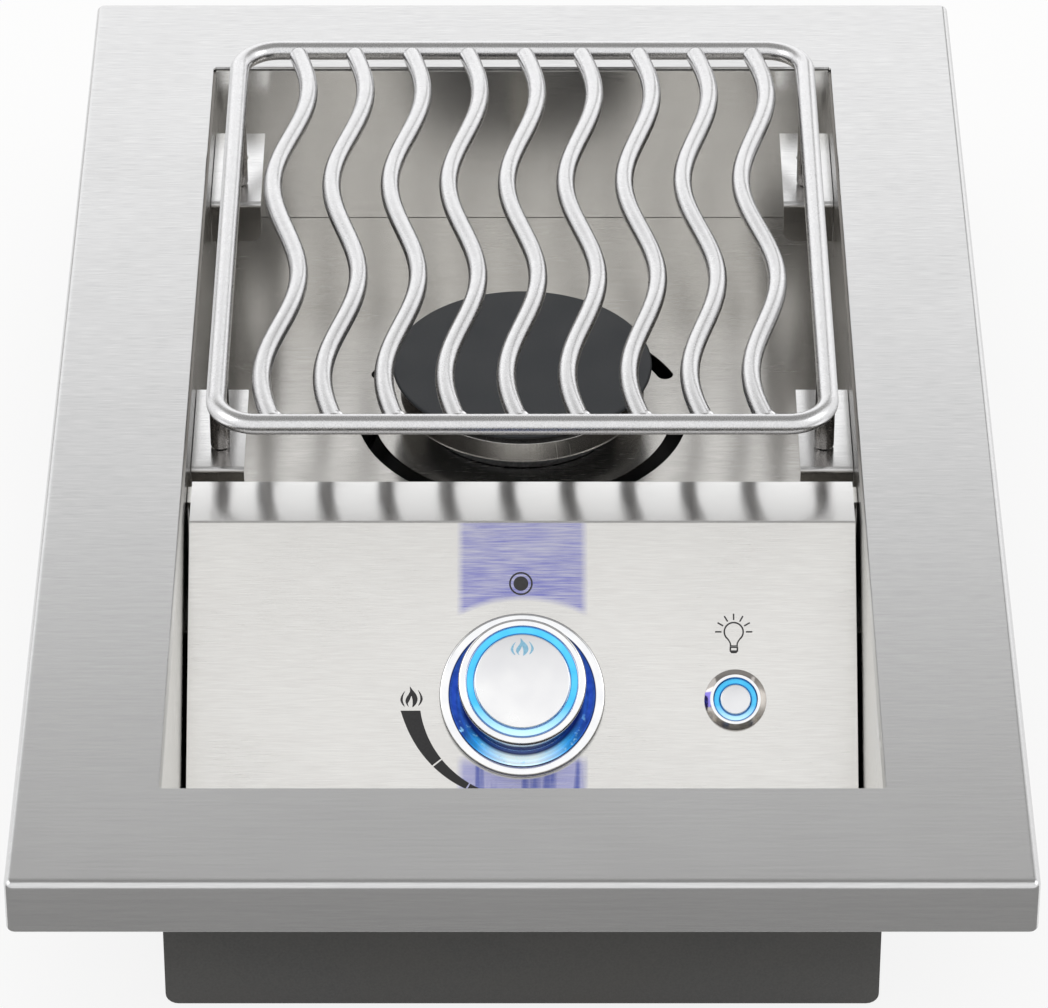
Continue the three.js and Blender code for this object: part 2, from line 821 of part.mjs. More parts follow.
const bowlFoot = casingSheet + bowlLift;
const baseFlangeFoot = floorTop + gap;
const headSeat = headFoot + headSeatHeight;
const baseRimTop = headSeat - gap;
function burnerBase() {
  const flangeTop = baseFlangeFoot + baseFlangeSheet;
  const bowlBore = bowlRadius - bowlWall;
  const rimBore = baseRimRadius - baseRimWall;
  const dish = turned([
    [0, bowlFoot],
    [bowlRadius, bowlFoot],
    [bowlRadius, baseFlangeFoot],
    [baseFlangeRadius, baseFlangeFoot],
    [baseFlangeRadius, flangeTop],
    [baseRimRadius, flangeTop],
    [baseRimRadius, baseRimTop],
    [rimBore, baseRimTop],
    [rimBore, flangeTop],
    [bowlBore, flangeTop],
    [bowlBore, bowlFoot + bowlWall],
    [0, bowlFoot + bowlWall],
  ]);
  const venturiHole = postAlongY(venturiRadius + gap, -bowlRadius - overrun, -bowlRadius + venturiReach);
  const cutters = [venturiHole.translate(0, 0, gasLineZ)];
  for (const side of [-1, 1]) {
    const hole = post(screwHole, baseFlangeFoot - overrun, baseFlangeFoot + baseFlangeSheet - gap);
    cutters.push(hole.translate(side * burnerScrewX, 0, 0));
  }
  return shaped(dish, [], cutters);
}
function burnerHead() {
  const ring = turnedRing([
    [headInnerRadius - headSeatWall, headSeat],
    [headTopRadius - headSeatWall, headSeat],
    [headSkirtRadius - headSkirtWall, headFoot],
    [headSkirtRadius, headFoot],
    [headSkirtRadius, headFoot + headSkirtEdge],
    [headTopRadius, headTop - headCrown],
    [headTopRadius, headTop],
    [headInnerRadius, headTop],
    [headInnerRadius, headTop - headCrown - headSkirtEdge],
    [headInnerRadius - headSeatWall, headTop - headCrown - headSkirtEdge],
  ]);
  const ports = [];
  for (let i = 0; i < portCount; i += 1) {
    const port = block(
      headInnerRadius - overrun,
      headTopRadius + overrun,
      -portWidth / 2,
      portWidth / 2,
      headTop - portDepth,
      headTop + overrun,
    );
    ports.push(port.rotateZ(2 * Math.PI * i / portCount));
  }
  return shaped(ring, [], ports);
}
function burnerCap() {
  const rimCentre = headSkirtRadius + capLap - capRimRound;
  const capRingRadius = headInnerRadius - capRingPlay;
  const ringInner = capRingRadius - capRingWall;
  return shaped(turned([
    [0, capUnder],
    [ringInner, capUnder],
    [ringInner, capUnder - capRingDrop],
    [capRingRadius, capUnder - capRingDrop],
    [capRingRadius, capUnder],
    [rimCentre, capUnder],
    ...roundedPairs(rimCentre, capTop - capRimRound, capRimRound, 0, Math.PI / 2, rimSteps),
    [0, capTop],
  ]));
}
addPiece('burner_base', burnerBase(), castAluminium, burner);
addPiece('burner_head', burnerHead(), brushedStainless, burner);
addPiece('burner_cap', burnerCap(), blackEnamel, burner);

// A pan head screw that points up, with the underside of its head at z = 0
function screw(length) {
  return shaped(turned([
    [0, -screwHeadHeight],
    [screwHeadRadius, -screwHeadHeight],
    [screwHeadRadius, 0],
    [screwRadius, 0],
    [screwRadius, length],
    [0, length],
  ], smallSides));
}
for (const [sideName, side] of sides) {
  const length = floorSheet + baseFlangeSheet;
  const burnerScrew = addPiece(`burner_screw_${sideName}`, screw(length), zincSteel, burner);
  burnerScrew.position.set(side * burnerScrewX, 0, floorTop - floorSheet - gap);
}

// The valve sits where the knob's axis comes down to the gas line
const knobPlace = onPanel(0, knobDistance);
const knobPoint = new THREE.Vector3().setFromMatrixPosition(knobPlace);
const valveRunToLine = (knobPoint.z - gasLineZ) / Math.cos(panelSlope);
const valveLineY = knobPoint.y + valveRunToLine * Math.sin(panelSlope);
const valveOutletY = valveLineY + valveOutletReach;

// Gas way under the floor, on one line: the jet stands in the mouth of the venturi tube
const orificeTipY = valveOutletY + gap + orificeLength + nozzleLength;
const venturiFrontY = orificeTipY - venturiLap;
const venturiRearY = burnerY - bowlRadius + venturiReach;
function venturiTube() {
  const length = venturiRearY - venturiFrontY;
  const bore = venturiRadius - venturiWall;
  const outline = [[bore, 0], [venturiRadius, 0], [venturiRadius, length], [bore, length]];
  return shaped(turnedRing(outline, smallSides).rotateX(-Math.PI / 2));
}
const venturi = addPiece('venturi_tube', venturiTube(), zincSteel);
venturi.position.set(0, venturiFrontY, gasLineZ);

function gasOrifice() {
  const tip = orificeLength + nozzleLength;
  const jet = turnedRing([
    [nozzleBore, 0],
    [orificeRadius, 0],
    [orificeRadius, orificeLength],
    [nozzleRadius, orificeLength],
    [nozzleRadius, tip],
    [nozzleBore, tip],
  ], smallSides);
  return shaped(jet.rotateX(-Math.PI / 2));
}
const orifice = addPiece('gas_orifice', gasOrifice(), brass);
orifice.position.set(0, valveOutletY + gap, gasLineZ);

// The inlet pipe leaves the valve sideways and turns to the rear fitting
const fittingHexRearY = linerRearY - gap;
const fittingFrontY = fittingHexRearY - fittingHexLength;
class InletLine extends THREE.Curve {
  constructor() {
    super();
    this.startX = valveInletX + gap;
    this.bendStartX = inletPipeX - inletBendRadius;
    this.bendEndY = valveLineY + inletBendRadius;
    this.endY = fittingFrontY - gap;
    this.steps = inletBendSteps + 2;
  }

  // One step for each straight run and the rest for the bend
  getPoint(t, target = new THREE.Vector3()) {
    const step = t * this.steps;
    if (step <= 1) {
      const x = this.startX + (this.bendStartX - this.startX) * step;
      return target.set(x, valveLineY, gasLineZ);
    }
    if (step >= this.steps - 1) {
      const y = this.bendEndY + (this.endY - this.bendEndY) * (step - this.steps + 1);
      return target.set(inletPipeX, y, gasLineZ);
    }
    const angle = Math.PI / 2 * (step - 1) / inletBendSteps;
    const x = this.bendStartX + inletBendRadius * Math.sin(angle);
    return target.set(x, this.bendEndY - inletBendRadius * Math.cos(angle), gasLineZ);
  }

  getPointAt(u, target) {
    return this.getPoint(u, target);
  }

  getTangentAt(u, target) {
    return this.getTangent(u, target);
  }
}
function gasInletPipe() {
  const line = new InletLine();
  return shaped(barAlong(line, inletPipeRadius, line.steps));
}
addPiece('gas_inlet_pipe', gasInletPipe(), brass);

function hexagon(radius, length) {
  const geometry = new THREE.CylinderGeometry(radius, radius, length, hexagonSides);
  return geometry.rotateY(Math.PI / hexagonSides).translate(0, length / 2, 0);
}
function gasInletFitting() {
  const end = fittingHexRearY + fittingReach;
  const hexagonEnd = hexagon(fittingHex, fittingHexLength).translate(0, fittingFrontY, 0);
  const thread = postAlongY(fittingRadius, fittingHexRearY - gap, end);
  const bore = postAlongY(fittingBore, fittingFrontY - overrun, end + overrun);
  return shaped(hexagonEnd, [thread], [bore]);
}
function gasInletNut() {
  const nutFrontY = casingRearY + gap;
  const nutRearY = nutFrontY + fittingNutLength;
  const nut = hexagon(fittingHex, fittingNutLength).translate(0, nutFrontY, 0);
  const bore = postAlongY(fittingRadius + gap, nutFrontY - overrun, nutRearY + overrun);
  return shaped(nut, [], [bore]);
}
addPiece('gas_inlet_fitting', gasInletFitting(), brass).position.set(inletPipeX, 0, gasLineZ);
addPiece('gas_inlet_nut', gasInletNut(), brass).position.set(inletPipeX, 0, gasLineZ);

// Knob axis: everything on it is built about local Z, which stands out of the panel
const knobAxis = new THREE.Group();
knobAxis.applyMatrix4(knobPlace);
sideBurner.add(knobAxis);

// The valve bonnet is screwed to the back of the panel and carries the valve body
const bonnetTop = -panelSheet - gap;
const bodyTop = bonnetTop - bonnetSheet - gap;
const bodyFoot = valveBodyShort - valveRunToLine;
function valveBonnet() {
  const halfX = bonnetWidth / 2;
  const halfY = bonnetDepth / 2;
  const plate = block(-halfX, halfX, -halfY, halfY, bonnetTop - bonnetSheet, bonnetTop);
  const neck = post(bonnetNeckRadius, bonnetTop - gap, 0);
  const stemHole = post(stemRadius + gap, bonnetTop - bonnetSheet - overrun, overrun);
  const cutters = [stemHole];
  for (const side of [-1, 1]) {
    const hole = post(screwHole, bonnetTop - bonnetSheet - overrun, bonnetTop + overrun);
    cutters.push(hole.translate(side * valveScrewX, 0, 0));
  }
  return shaped(plate, [neck], cutters);
}
addPiece('valve_bonnet', valveBonnet(), zincSteel, knobAxis);

// The valve body's barrel is on the knob axis, and its two arms are on the gas line
const plugTop = bodyTop - 2 * gap;
const plugFoot = plugTop - valvePlugLength;
function gasValveBody() {
  const toKnobAxis = knobPlace.clone().invert();
  const barrel = post(valveBodyRadius, bodyFoot, bodyTop, barrelSides);
  const outlet = postAlongY(valveArmRadius, valveLineY - valveArmFrontLap, valveOutletY);
  const inlet = postAlongX(valveArmRadius, 0, valveInletX).translate(0, valveLineY, 0);
  outlet.translate(0, 0, gasLineZ).applyMatrix4(toKnobAxis);
  inlet.translate(0, 0, gasLineZ).applyMatrix4(toKnobAxis);
  const bore = post(valvePlugRadius + gap, plugFoot - gap, bodyTop + overrun, barrelSides);
  return shaped(barrel, [outlet, inlet], [bore]);
}
addPiece('gas_valve_body', gasValveBody(), castAluminium, knobAxis);

function valvePlug() {
  const boreFoot = plugFoot + plugWall;
  const plug = post(valvePlugRadius, plugFoot, plugTop, barrelSides);
  return shaped(plug, [], [post(stemRadius + gap, boreFoot, plugTop + overrun)]);
}
addPiece('valve_plug', valvePlug(), brass, knobAxis);

// The stem has a flat near its top, which keys the knob's socket to it
const knobSeat = knobTopHeight - knobRecess;
const socketTop = knobSeat - knobSocketRoof;
const stemAbove = socketTop - gap;
const stemFoot = plugFoot + plugWall + knobTravel + gap;
function valveStem() {
  const stem = post(stemRadius, stemFoot, stemAbove);
  const flatX = stemRadius * stemFlatShare;
  const flat = block(
    flatX,
    stemRadius + overrun,
    -stemRadius - overrun,
    stemRadius + overrun,
    stemAbove - stemFlatLength,
    stemAbove + overrun,
  );
  return shaped(stem, [], [flat]);
}
addPiece('valve_stem', valveStem(), zincSteel, knobAxis);

for (const [sideName, side] of sides) {
  const length = panelSheet + gap + bonnetSheet + valveScrewLength;
  const valveScrew = addPiece(`valve_screw_${sideName}`, screw(length), zincSteel, knobAxis);
  valveScrew.rotation.x = Math.PI;
  valveScrew.position.set(side * valveScrewX, 0, gap);
}

// Bezel: a bright ring round a shallow dish, lit from a lens ring at the dish's foot
const bezelRingInner = bezelRadius - bezelRingWidth;
const bezelDishInner = bezelRingInner - bezelDishWidth;
function knobBezel() {
  return shaped(turnedRing([
    [bezelDishInner, gap],
    [bezelRadius, gap],
    [bezelRadius, bezelHeight - bezelRound],
    [bezelRadius - bezelRound, bezelHeight],
    [bezelRingInner, bezelHeight],
    [bezelRingInner - bezelRound, bezelHeight - bezelRound],
    [bezelDishInner + bezelRound, bezelDishFloor],
    [bezelDishInner, bezelDishFloor],
  ]));
}
addPiece('knob_bezel', knobBezel(), brightChrome, knobAxis);

function bezelLightRing() {
  const outer = bezelDishInner - gap;
  const inner = outer - glowWidth;
  return shaped(turnedRing([[inner, gap], [outer, gap], [outer, glowHeight], [inner, glowHeight]]));
}
addPiece('bezel_light_ring', bezelLightRing(), blueLens, knobAxis);

// Knob: a chromed shell on a hub, with a lens ring and a face set in its top
const knobRingOuter = knobRadius - knobRim;
const knobRingInner = knobRingOuter - knobRingWidth;
function knobBody() {
  const waist = knobRadius - knobTaper;
  const rimInner = knobRingOuter + gap;
  const rimTop = knobTopHeight - knobRound / 2;
  const body = turned([
    [0, knobBaseHeight],
    [waist, knobBaseHeight],
    [knobRadius, rimTop - knobRound],
    ...roundedPairs(knobRadius - knobRound, rimTop - knobRound, knobRound, 0, Math.PI / 2, rimSteps),
    [rimInner, rimTop],
    [rimInner, knobSeat],
    [0, knobSeat],
  ]);
  const hollowFoot = knobBaseHeight - overrun;
  const hollowTop = knobSeat - knobHollowRoof;
  const hollow = turnedRing([
    [knobHubRadius, hollowFoot],
    [waist - knobWall, hollowFoot],
    [waist - knobWall, hollowTop],
    [knobHubRadius, hollowTop],
  ], barrelSides);
  const socket = post(stemRadius + gap, hollowFoot, socketTop);
  const keyX = stemRadius * stemFlatShare + gap;
  const keyFoot = stemAbove - stemFlatLength + gap;
  const key = block(keyX, stemRadius + overrun, -stemRadius, stemRadius, keyFoot, socketTop);
  const keyedSocket = shaped(socket, [], [key]);
  return shaped(body, [], [hollow, keyedSocket]);
}
addPiece('knob_body', knobBody(), brightChrome, knobAxis);

function knobLightRing() {
  return shaped(turnedRing([
    [knobRingInner, knobSeat + gap],
    [knobRingOuter, knobSeat + gap],
    [knobRingOuter, knobTopHeight - knobRound / 2],
    [knobRingInner, knobTopHeight - knobRound / 2],
  ]));
}
addPiece('knob_light_ring', knobLightRing(), blueLens, knobAxis);

function knobFace() {
  const radius = knobRingInner - gap;
  return shaped(turned([
    [0, knobSeat + gap],
    [radius, knobSeat + gap],
    [radius, knobTopHeight - gap],
    [radius - gap, knobTopHeight],
    [0, knobTopHeight],
  ]));
}
addPiece('knob_face', knobFace(), brightChrome, knobAxis);

// Lit push button: a flanged housing through the panel, clamped by a nut behind it
const switchAxis = new THREE.Group();
switchAxis.applyMatrix4(onPanel(switchX, switchDistance));
sideBurner.add(switchAxis);

const switchTop = gap + switchFlangeHeight;
const switchFoot = gap - switchBarrelLength;
const switchBore = switchBarrelRadius - switchWall;
const switchFlangeRadius = switchBarrelRadius + switchFlangeReach;
function switchHousing() {
  return shaped(turnedRing([
    [switchBore, switchFoot],
    [switchBarrelRadius, switchFoot],
    [switchBarrelRadius, gap],
    [switchFlangeRadius, gap],
    [switchFlangeRadius, switchTop - gap],
    [switchFlangeRadius - gap, switchTop],
    [switchBore + switchMouthFlare, switchTop],
    [switchBore, switchTop - switchMouthDepth],
  ]));
}
addPiece('light_switch_housing', switchHousing(), brightChrome, switchAxis);

const switchRingTop = switchTop - switchMouthDepth;
const switchBaseTop = switchTop - switchButtonHead - switchTravel - gap;
const switchBaseRadius = switchBore - gap;
function switchRing() {
  const inner = switchButtonRadius + gap;
  return shaped(turnedRing([
    [inner, switchBaseTop + gap],
    [switchBaseRadius, switchBaseTop + gap],
    [switchBaseRadius, switchRingTop],
    [inner, switchRingTop],
  ]));
}
addPiece('light_switch_ring', switchRing(), blueLens, switchAxis);

function lightButton() {
  const headFootZ = switchTop - switchButtonHead;
  return shaped(turned([
    [0, headFootZ - switchButtonStemLength],
    [switchButtonStem, headFootZ - switchButtonStemLength],
    [switchButtonStem, headFootZ],
    [switchButtonRadius, headFootZ],
    [switchButtonRadius, switchTop - gap],
    [switchButtonRadius - gap, switchTop],
    [0, switchTop],
  ], barrelSides));
}
addPiece('light_button', lightButton(), brightChrome, switchAxis);

function switchNut() {
  const top = -panelSheet - gap;
  const foot = top - switchNutLength;
  const flatRadius = switchBarrelRadius + gap + switchNutWall;
  const nut = post(flatRadius / Math.cos(Math.PI / hexagonSides), foot, top, hexagonSides);
  const bore = post(switchBarrelRadius + gap, foot - overrun, top + overrun, roundSides);
  return shaped(nut, [], [bore]);
}
addPiece('light_switch_nut', switchNut(), zincSteel, switchAxis);

function switchBase() {
  const foot = switchBaseTop - switchBaseLength;
  const stemRoom = switchTop - switchButtonHead - switchButtonStemLength - switchTravel - gap;
  const base = post(switchBaseRadius, foot, switchBaseTop, barrelSides);
  return shaped(base, [], [post(switchButtonStem + gap, stemRoom, switchBaseTop + overrun)]);
}
addPiece('light_switch_base', switchBase(), blackPlastic, switchAxis);

// Igniter: a ceramic with its electrode behind the burner, fed by a lead under the floor
const igniter = new THREE.Group();
igniter.position.set(0, burnerY + electrodeDistance, floorTop);
sideBurner.add(igniter);

const ceramicFoot = -floorSheet - ceramicBelow;
function igniterCeramic() {
  const collar = ceramicRadius + ceramicCollar;
  const body = turned([
    [0, ceramicFoot],
    [ceramicRadius, ceramicFoot],
    [ceramicRadius, gap],
    [collar, gap],
    [collar, gap + ceramicCollarHeight],
    [ceramicRadius, gap + ceramicCollarHeight],
    [ceramicRadius, ceramicAbove],
    [0, ceramicAbove],
  ], smallSides);
  const bore = post(electrodeRadius + gap, ceramicFoot - overrun, ceramicAbove + overrun, rodSides);
  return shaped(body, [], [bore]);
}
addPiece('igniter_ceramic', igniterCeramic(), whiteCeramic, igniter);

// The electrode stands in the ceramic and bends over towards the ports
class ElectrodeLine extends THREE.CurvePath {
  constructor() {
    super();
    const top = ceramicAbove + electrodeRise;
    const start = new THREE.Vector3(0, 0, ceramicFoot - electrodeTail);
    const bendStart = new THREE.Vector3(0, 0, top - electrodeBend);
    const corner = new THREE.Vector3(0, 0, top);
    const bendEnd = new THREE.Vector3(0, -electrodeBend, top);
    this.add(new THREE.LineCurve3(start, bendStart));
    this.add(new THREE.QuadraticBezierCurve3(bendStart, corner, bendEnd));
    this.add(new THREE.LineCurve3(bendEnd, new THREE.Vector3(0, -electrodeReach, top)));
  }
}
function igniterElectrode() {
  return shaped(barAlong(new ElectrodeLine(), electrodeRadius, electrodeSteps));
}
addPiece('igniter_electrode', igniterElectrode(), zincSteel, igniter);

const moduleX = -(linerX - moduleInset - moduleWidth / 2);
const moduleRearY = floorFrontY - moduleSetback;
function ignitionModule() {
  const halfX = moduleWidth / 2;
  const frontY = moduleRearY - moduleLength;
  const plan = roundedRectangle(-halfX, halfX, frontY, moduleRearY, moduleRound);
  const foot = casingSheet + gap;
  return shaped(raised(plan, foot, foot + moduleHeight));
}
addPiece('ignition_module', ignitionModule(), blackPlastic).position.x = moduleX;

// The lead's route, by hand: out of the module's rear face, then round the bowl to the electrode's tail
const leadFromModule = [
  [8, 0.5],
  [8, 36],
];
const leadRoundBowl = [
  [-66, -58],
  [-60, 0],
  [-44, 36],
  [-18, 51],
];
function ignitionLead() {
  const z = floorTop - leadDrop;
  const points = [
    ...leadFromModule.map(([x, y]) => new THREE.Vector3(moduleX + x, moduleRearY + y, z)),
    ...leadRoundBowl.map(([x, y]) => new THREE.Vector3(x, burnerY + y, z)),
    new THREE.Vector3(-electrodeRadius - gap, burnerY + electrodeDistance, z),
  ];
  return shaped(barAlong(new THREE.CatmullRomCurve3(points), leadRadius, leadSteps));
}
addPiece('ignition_lead', ignitionLead(), orangeLead);

// Screws that hold the panel's foot to the casing
for (const [sideName, side] of sides) {
  const length = panelSheet + panelFootLift + casingSheet;
  const footScrew = addPiece(`panel_screw_${sideName}`, screw(length), zincSteel);
  footScrew.rotation.x = Math.PI;
  footScrew.position.set(side * panelScrewX, panelFootFrontY + panelFootLength / 2, footTop + gap);
}

export default sideBurner;
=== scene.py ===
import math

import bmesh
import bpy
from mathutils import Matrix, Vector


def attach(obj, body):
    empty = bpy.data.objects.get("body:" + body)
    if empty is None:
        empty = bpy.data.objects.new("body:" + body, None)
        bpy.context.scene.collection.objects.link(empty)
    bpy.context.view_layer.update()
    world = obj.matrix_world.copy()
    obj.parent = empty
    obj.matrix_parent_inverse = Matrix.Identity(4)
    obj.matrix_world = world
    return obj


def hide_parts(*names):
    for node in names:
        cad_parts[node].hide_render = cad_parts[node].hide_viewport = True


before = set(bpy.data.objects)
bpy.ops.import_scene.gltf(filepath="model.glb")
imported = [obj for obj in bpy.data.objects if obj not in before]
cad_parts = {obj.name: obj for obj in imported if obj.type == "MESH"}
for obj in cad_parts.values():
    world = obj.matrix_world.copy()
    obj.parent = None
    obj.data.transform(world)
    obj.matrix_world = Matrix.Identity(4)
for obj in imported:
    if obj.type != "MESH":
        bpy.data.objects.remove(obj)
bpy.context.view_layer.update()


# Camera: a long lens that looks down about 35 degrees on the part from the front, as the
# photograph was taken. Its place is in metres from the middle of the trim's plan.
def in_scene(name, data):
    """A new object in the scene for a camera, a lamp or a mesh."""
    thing = bpy.data.objects.new(name, data)
    bpy.context.scene.collection.objects.link(thing)
    return thing


camera_data = bpy.data.cameras.new("camera")
camera_data.sensor_width = 36
camera_data.sensor_fit = "HORIZONTAL"
camera_data.lens = 213.7
camera_data.shift_x = 0.00167
camera = in_scene("camera", camera_data)
camera.location = (0, -1.9466, 1.4362)
camera.rotation_euler = (math.radians(54.5), 0, 0)
bpy.context.scene.camera = camera
bpy.context.scene.view_settings.view_transform = "Standard"

# Studio: a pale floor, a soft world and large soft lamps round the part. The camera and the metal
# see the background as white, the floor keeps the shadow, and grey cards shade the metal.
MM = 0.001


def linear(code):
    """The linear colour of an sRGB hex value."""
    channels = []
    for shift in (16, 8, 0):
        value = (code >> shift & 255) / 255
        channels.append(value / 12.92 if value <= 0.04045 else ((value + 0.055) / 1.055) ** 2.4)
    return (*channels, 1)


def add(tree, kind, inputs=(), **settings):
    """Adds a node with its own settings, and with values or links on its inputs."""
    node = tree.nodes.new(kind)
    for name, value in settings.items():
        setattr(node, name, value)
    for key, value in dict(inputs).items():
        if isinstance(value, bpy.types.Node):
            value = value.outputs[0]
        if isinstance(value, bpy.types.NodeSocket):
            tree.links.new(value, node.inputs[key])
        else:
            node.inputs[key].default_value = value
    return node


def empty_tree(owner):
    """The node tree of a material or a world, with nothing in it yet."""
    owner.use_nodes = True
    owner.node_tree.nodes.clear()
    return owner.node_tree


def seen_as_background(tree):
    """1 for a ray from the camera, or one that metal or glass sends on, and else 0."""
    path = add(tree, "ShaderNodeLightPath").outputs
    rays = {0: path["Is Glossy Ray"], 1: path["Is Transmission Ray"]}
    sent_on = add(tree, "ShaderNodeMath", rays, operation="MAXIMUM")
    return add(tree, "ShaderNodeMath", {0: path["Is Camera Ray"], 1: sent_on}, operation="MAXIMUM")


WORLD_LEVEL = 0.75
world = bpy.data.worlds.new("studio")
tree = empty_tree(world)
soft_light = add(tree, "ShaderNodeBackground", {"Color": linear(0xfffefc), "Strength": WORLD_LEVEL})
background = add(tree, "ShaderNodeBackground", {"Color": linear(0xffffff), "Strength": 1})
shown = add(tree, "ShaderNodeMixShader", {0: seen_as_background(tree), 1: soft_light, 2: background})
add(tree, "ShaderNodeOutputWorld", {"Surface": shown})
bpy.context.scene.world = world


def lamp(name, place, target, size, power, mirrored=True):
    """A soft box: an area lamp at a place, turned to a target, with its width and height."""
    data = bpy.data.lights.new(name, "AREA")
    data.shape = "RECTANGLE"
    data.size, data.size_y = size
    data.energy = power
    soft_box = in_scene(name, data)
    soft_box.location = place
    soft_box.rotation_euler = (Vector(target) - Vector(place)).to_track_quat("-Z", "Y").to_euler()
    soft_box.visible_camera = False
    soft_box.visible_glossy = mirrored


lamp("soft_box_rear", (0, 1.25, 0.5), (0, 0, 0.1), (2.4, 0.8), 1.4)
lamp("soft_box_over", (0, 0.2, 2.2), (0, 0, 0.1), (1.6, 1.0), 4.5, mirrored=False)
lamp("soft_box_left", (-1.7, -0.4, 1.3), (0, 0, 0.1), (1.2, 1.2), 5.4)
lamp("soft_box_right", (1.7, -0.4, 1.3), (0, 0, 0.1), (1.2, 1.2), 5.4)


def new_piece(name, mesh, body=None):
    """An object at the origin for a mesh, which rides on a body of the model."""
    piece = in_scene(name, mesh)
    if body:
        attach(piece, body)
    return piece


FLOOR_REACH = 6
FLOOR_SINK = 0.0004
studio_mesh = bpy.data.meshes.new("studio_floor")
floor_corners = [
    (x * FLOOR_REACH, y * FLOOR_REACH, -FLOOR_SINK)
    for x, y in ((-1, -1), (1, -1), (1, 1), (-1, 1))
]
studio_mesh.from_pydata(floor_corners, [], [(0, 1, 2, 3)])
studio_floor = new_piece("studio_floor", studio_mesh)

FLOOR_LIFT = 0.85
paper = bpy.data.materials.new("matt_white_backdrop_paper")
tree = empty_tree(paper)
lit_paper = add(tree, "ShaderNodeBsdfDiffuse", {"Color": linear(0xf4f4f4)})
white_paper = add(tree, "ShaderNodeEmission", {"Color": linear(0xffffff), "Strength": 1})
lift = add(tree, "ShaderNodeMath", {0: seen_as_background(tree), 1: FLOOR_LIFT}, operation="MULTIPLY")
paper_shown = add(tree, "ShaderNodeMixShader", {0: lift, 1: lit_paper, 2: white_paper})
add(tree, "ShaderNodeOutputMaterial", {"Surface": paper_shown})
studio_mesh.materials.append(paper)


def grey_card(name, low, high, level):
    """A card between two corners outside the picture, that only the metal reflects."""
    mesh = bpy.data.meshes.new(name)
    corners = [low, (high[0], low[1], low[2]), high, (low[0], high[1], high[2])]
    mesh.from_pydata(corners, [], [(0, 1, 2, 3)])
    card = new_piece(name, mesh)
    for ray in ("camera", "diffuse", "shadow", "transmission"):
        setattr(card, f"visible_{ray}", False)
    grey = bpy.data.materials.new(name)
    tree = empty_tree(grey)
    shade = add(tree, "ShaderNodeEmission", {"Color": linear(0xfffefc), "Strength": level})
    add(tree, "ShaderNodeOutputMaterial", {"Surface": shade})
    mesh.materials.append(grey)


CARD_HALF = 1.6
grey_card("grey_card_rear", (-CARD_HALF, 1.2, 1.09), (CARD_HALF, 1.2, 2.4), 0.4)
grey_card("grey_card_over", (-CARD_HALF, 1.2, 2.4), (CARD_HALF, -0.9, 2.4), 0.32)
grey_card("grey_card_front", (-CARD_HALF, -0.8, 0.002), (CARD_HALF, -0.262, 0.002), 0.32)
grey_card("grey_card_strip", (0.42, 1.19, 0.35), (0.6, 1.19, 1.2), 0.35)
grey_card("grey_card_low", (-1.2, 1.19, 0.002), (-0.75, 1.19, 0.35), 0.45)


# Outer casing: a folded box of thin zinc-coated steel sheet, powder coated dark grey. Its bends
# are rounded, its flange lies under the trim, and the gas inlet comes out at its rear.
def new_finish(name, metallic, roughness, **fixed):
    """A material, its shader, and the object coordinates that its patterns are laid on."""
    material = bpy.data.materials.new(name)
    tree = empty_tree(material)
    sockets = {"Metallic": metallic, "Roughness": roughness}
    sockets.update({key.replace("_", " "): value for key, value in fixed.items()})
    shader = add(tree, "ShaderNodeBsdfPrincipled", sockets)
    add(tree, "ShaderNodeOutputMaterial", {"Surface": shader})
    return material, shader, add(tree, "ShaderNodeTexCoord").outputs["Object"]


def grain(place, size, detail=2.0):
    """A soft noise with spots of a size in mm, or of three sizes along X, Y and Z."""
    sizes = size if isinstance(size, (list, tuple)) else [size] * 3
    # A link's id_data is the node tree that it is in
    tree = place.id_data
    scaled = add(tree, "ShaderNodeMapping", {
        "Vector": place,
        "Scale": [1 / (length * MM) for length in sizes],
    })
    return add(tree, "ShaderNodeTexNoise", {"Vector": scaled, "Scale": 1, "Detail": detail}).outputs[0]


def between(share, low, high, span=(0.3, 0.7)):
    """A number that goes from low to high as a share goes through a span."""
    limits = {0: share, 1: span[0], 2: span[1], 3: low, 4: high}
    return add(share.id_data, "ShaderNodeMapRange", limits).outputs[0]


def blended(share, first, second):
    """A colour that goes from one to another by a share: each is a hex value or a link."""
    sockets = {0: share}
    for key, colour in ((6, first), (7, second)):
        sockets[key] = linear(colour) if isinstance(colour, int) else colour
    return add(share.id_data, "ShaderNodeMix", sockets, data_type="RGBA").outputs[2]


def finished(shader, colour, rough, *heights):
    """Gives a shader its colour and roughness, and bump from pairs of a height and a depth in mm."""
    tree = shader.id_data
    tree.links.new(colour, shader.inputs["Base Color"])
    tree.links.new(rough, shader.inputs["Roughness"])
    normal = None
    for height, depth in heights:
        bump = add(tree, "ShaderNodeBump", {"Height": height, "Strength": 1, "Distance": depth * MM})
        if normal:
            tree.links.new(normal, bump.inputs["Normal"])
        normal = bump.outputs[0]
    tree.links.new(normal, shader.inputs["Normal"])


def dress(material, *names):
    """Gives CAD nodes a finish through their material slots."""
    for name in names:
        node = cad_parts[name]
        for place in node.material_slots:
            place.material = material


# Powder coat over sheet steel: an even dark grey with a fine orange peel and a low sheen
powder_coat, shader, place = new_finish("dark_grey_powder_coat", 0, 0.5, IOR=1.5)
speck = grain(place, 0.7)
drift = grain(place, (60, 60, 25))
tone = blended(between(drift, 0, 1), 0x434343, 0x4c4b49)
tone = blended(between(speck, 0, 0.35), tone, 0x5a5957)
finished(shader, tone, between(drift, 0.44, 0.58), (speck, 0.05))


def smooth(mesh, sharp=32):
    """Shades a mesh smooth, with its edges sharp above an angle in degrees."""
    mesh.shade_smooth()
    mesh.set_sharp_from_angle(angle=math.radians(sharp))


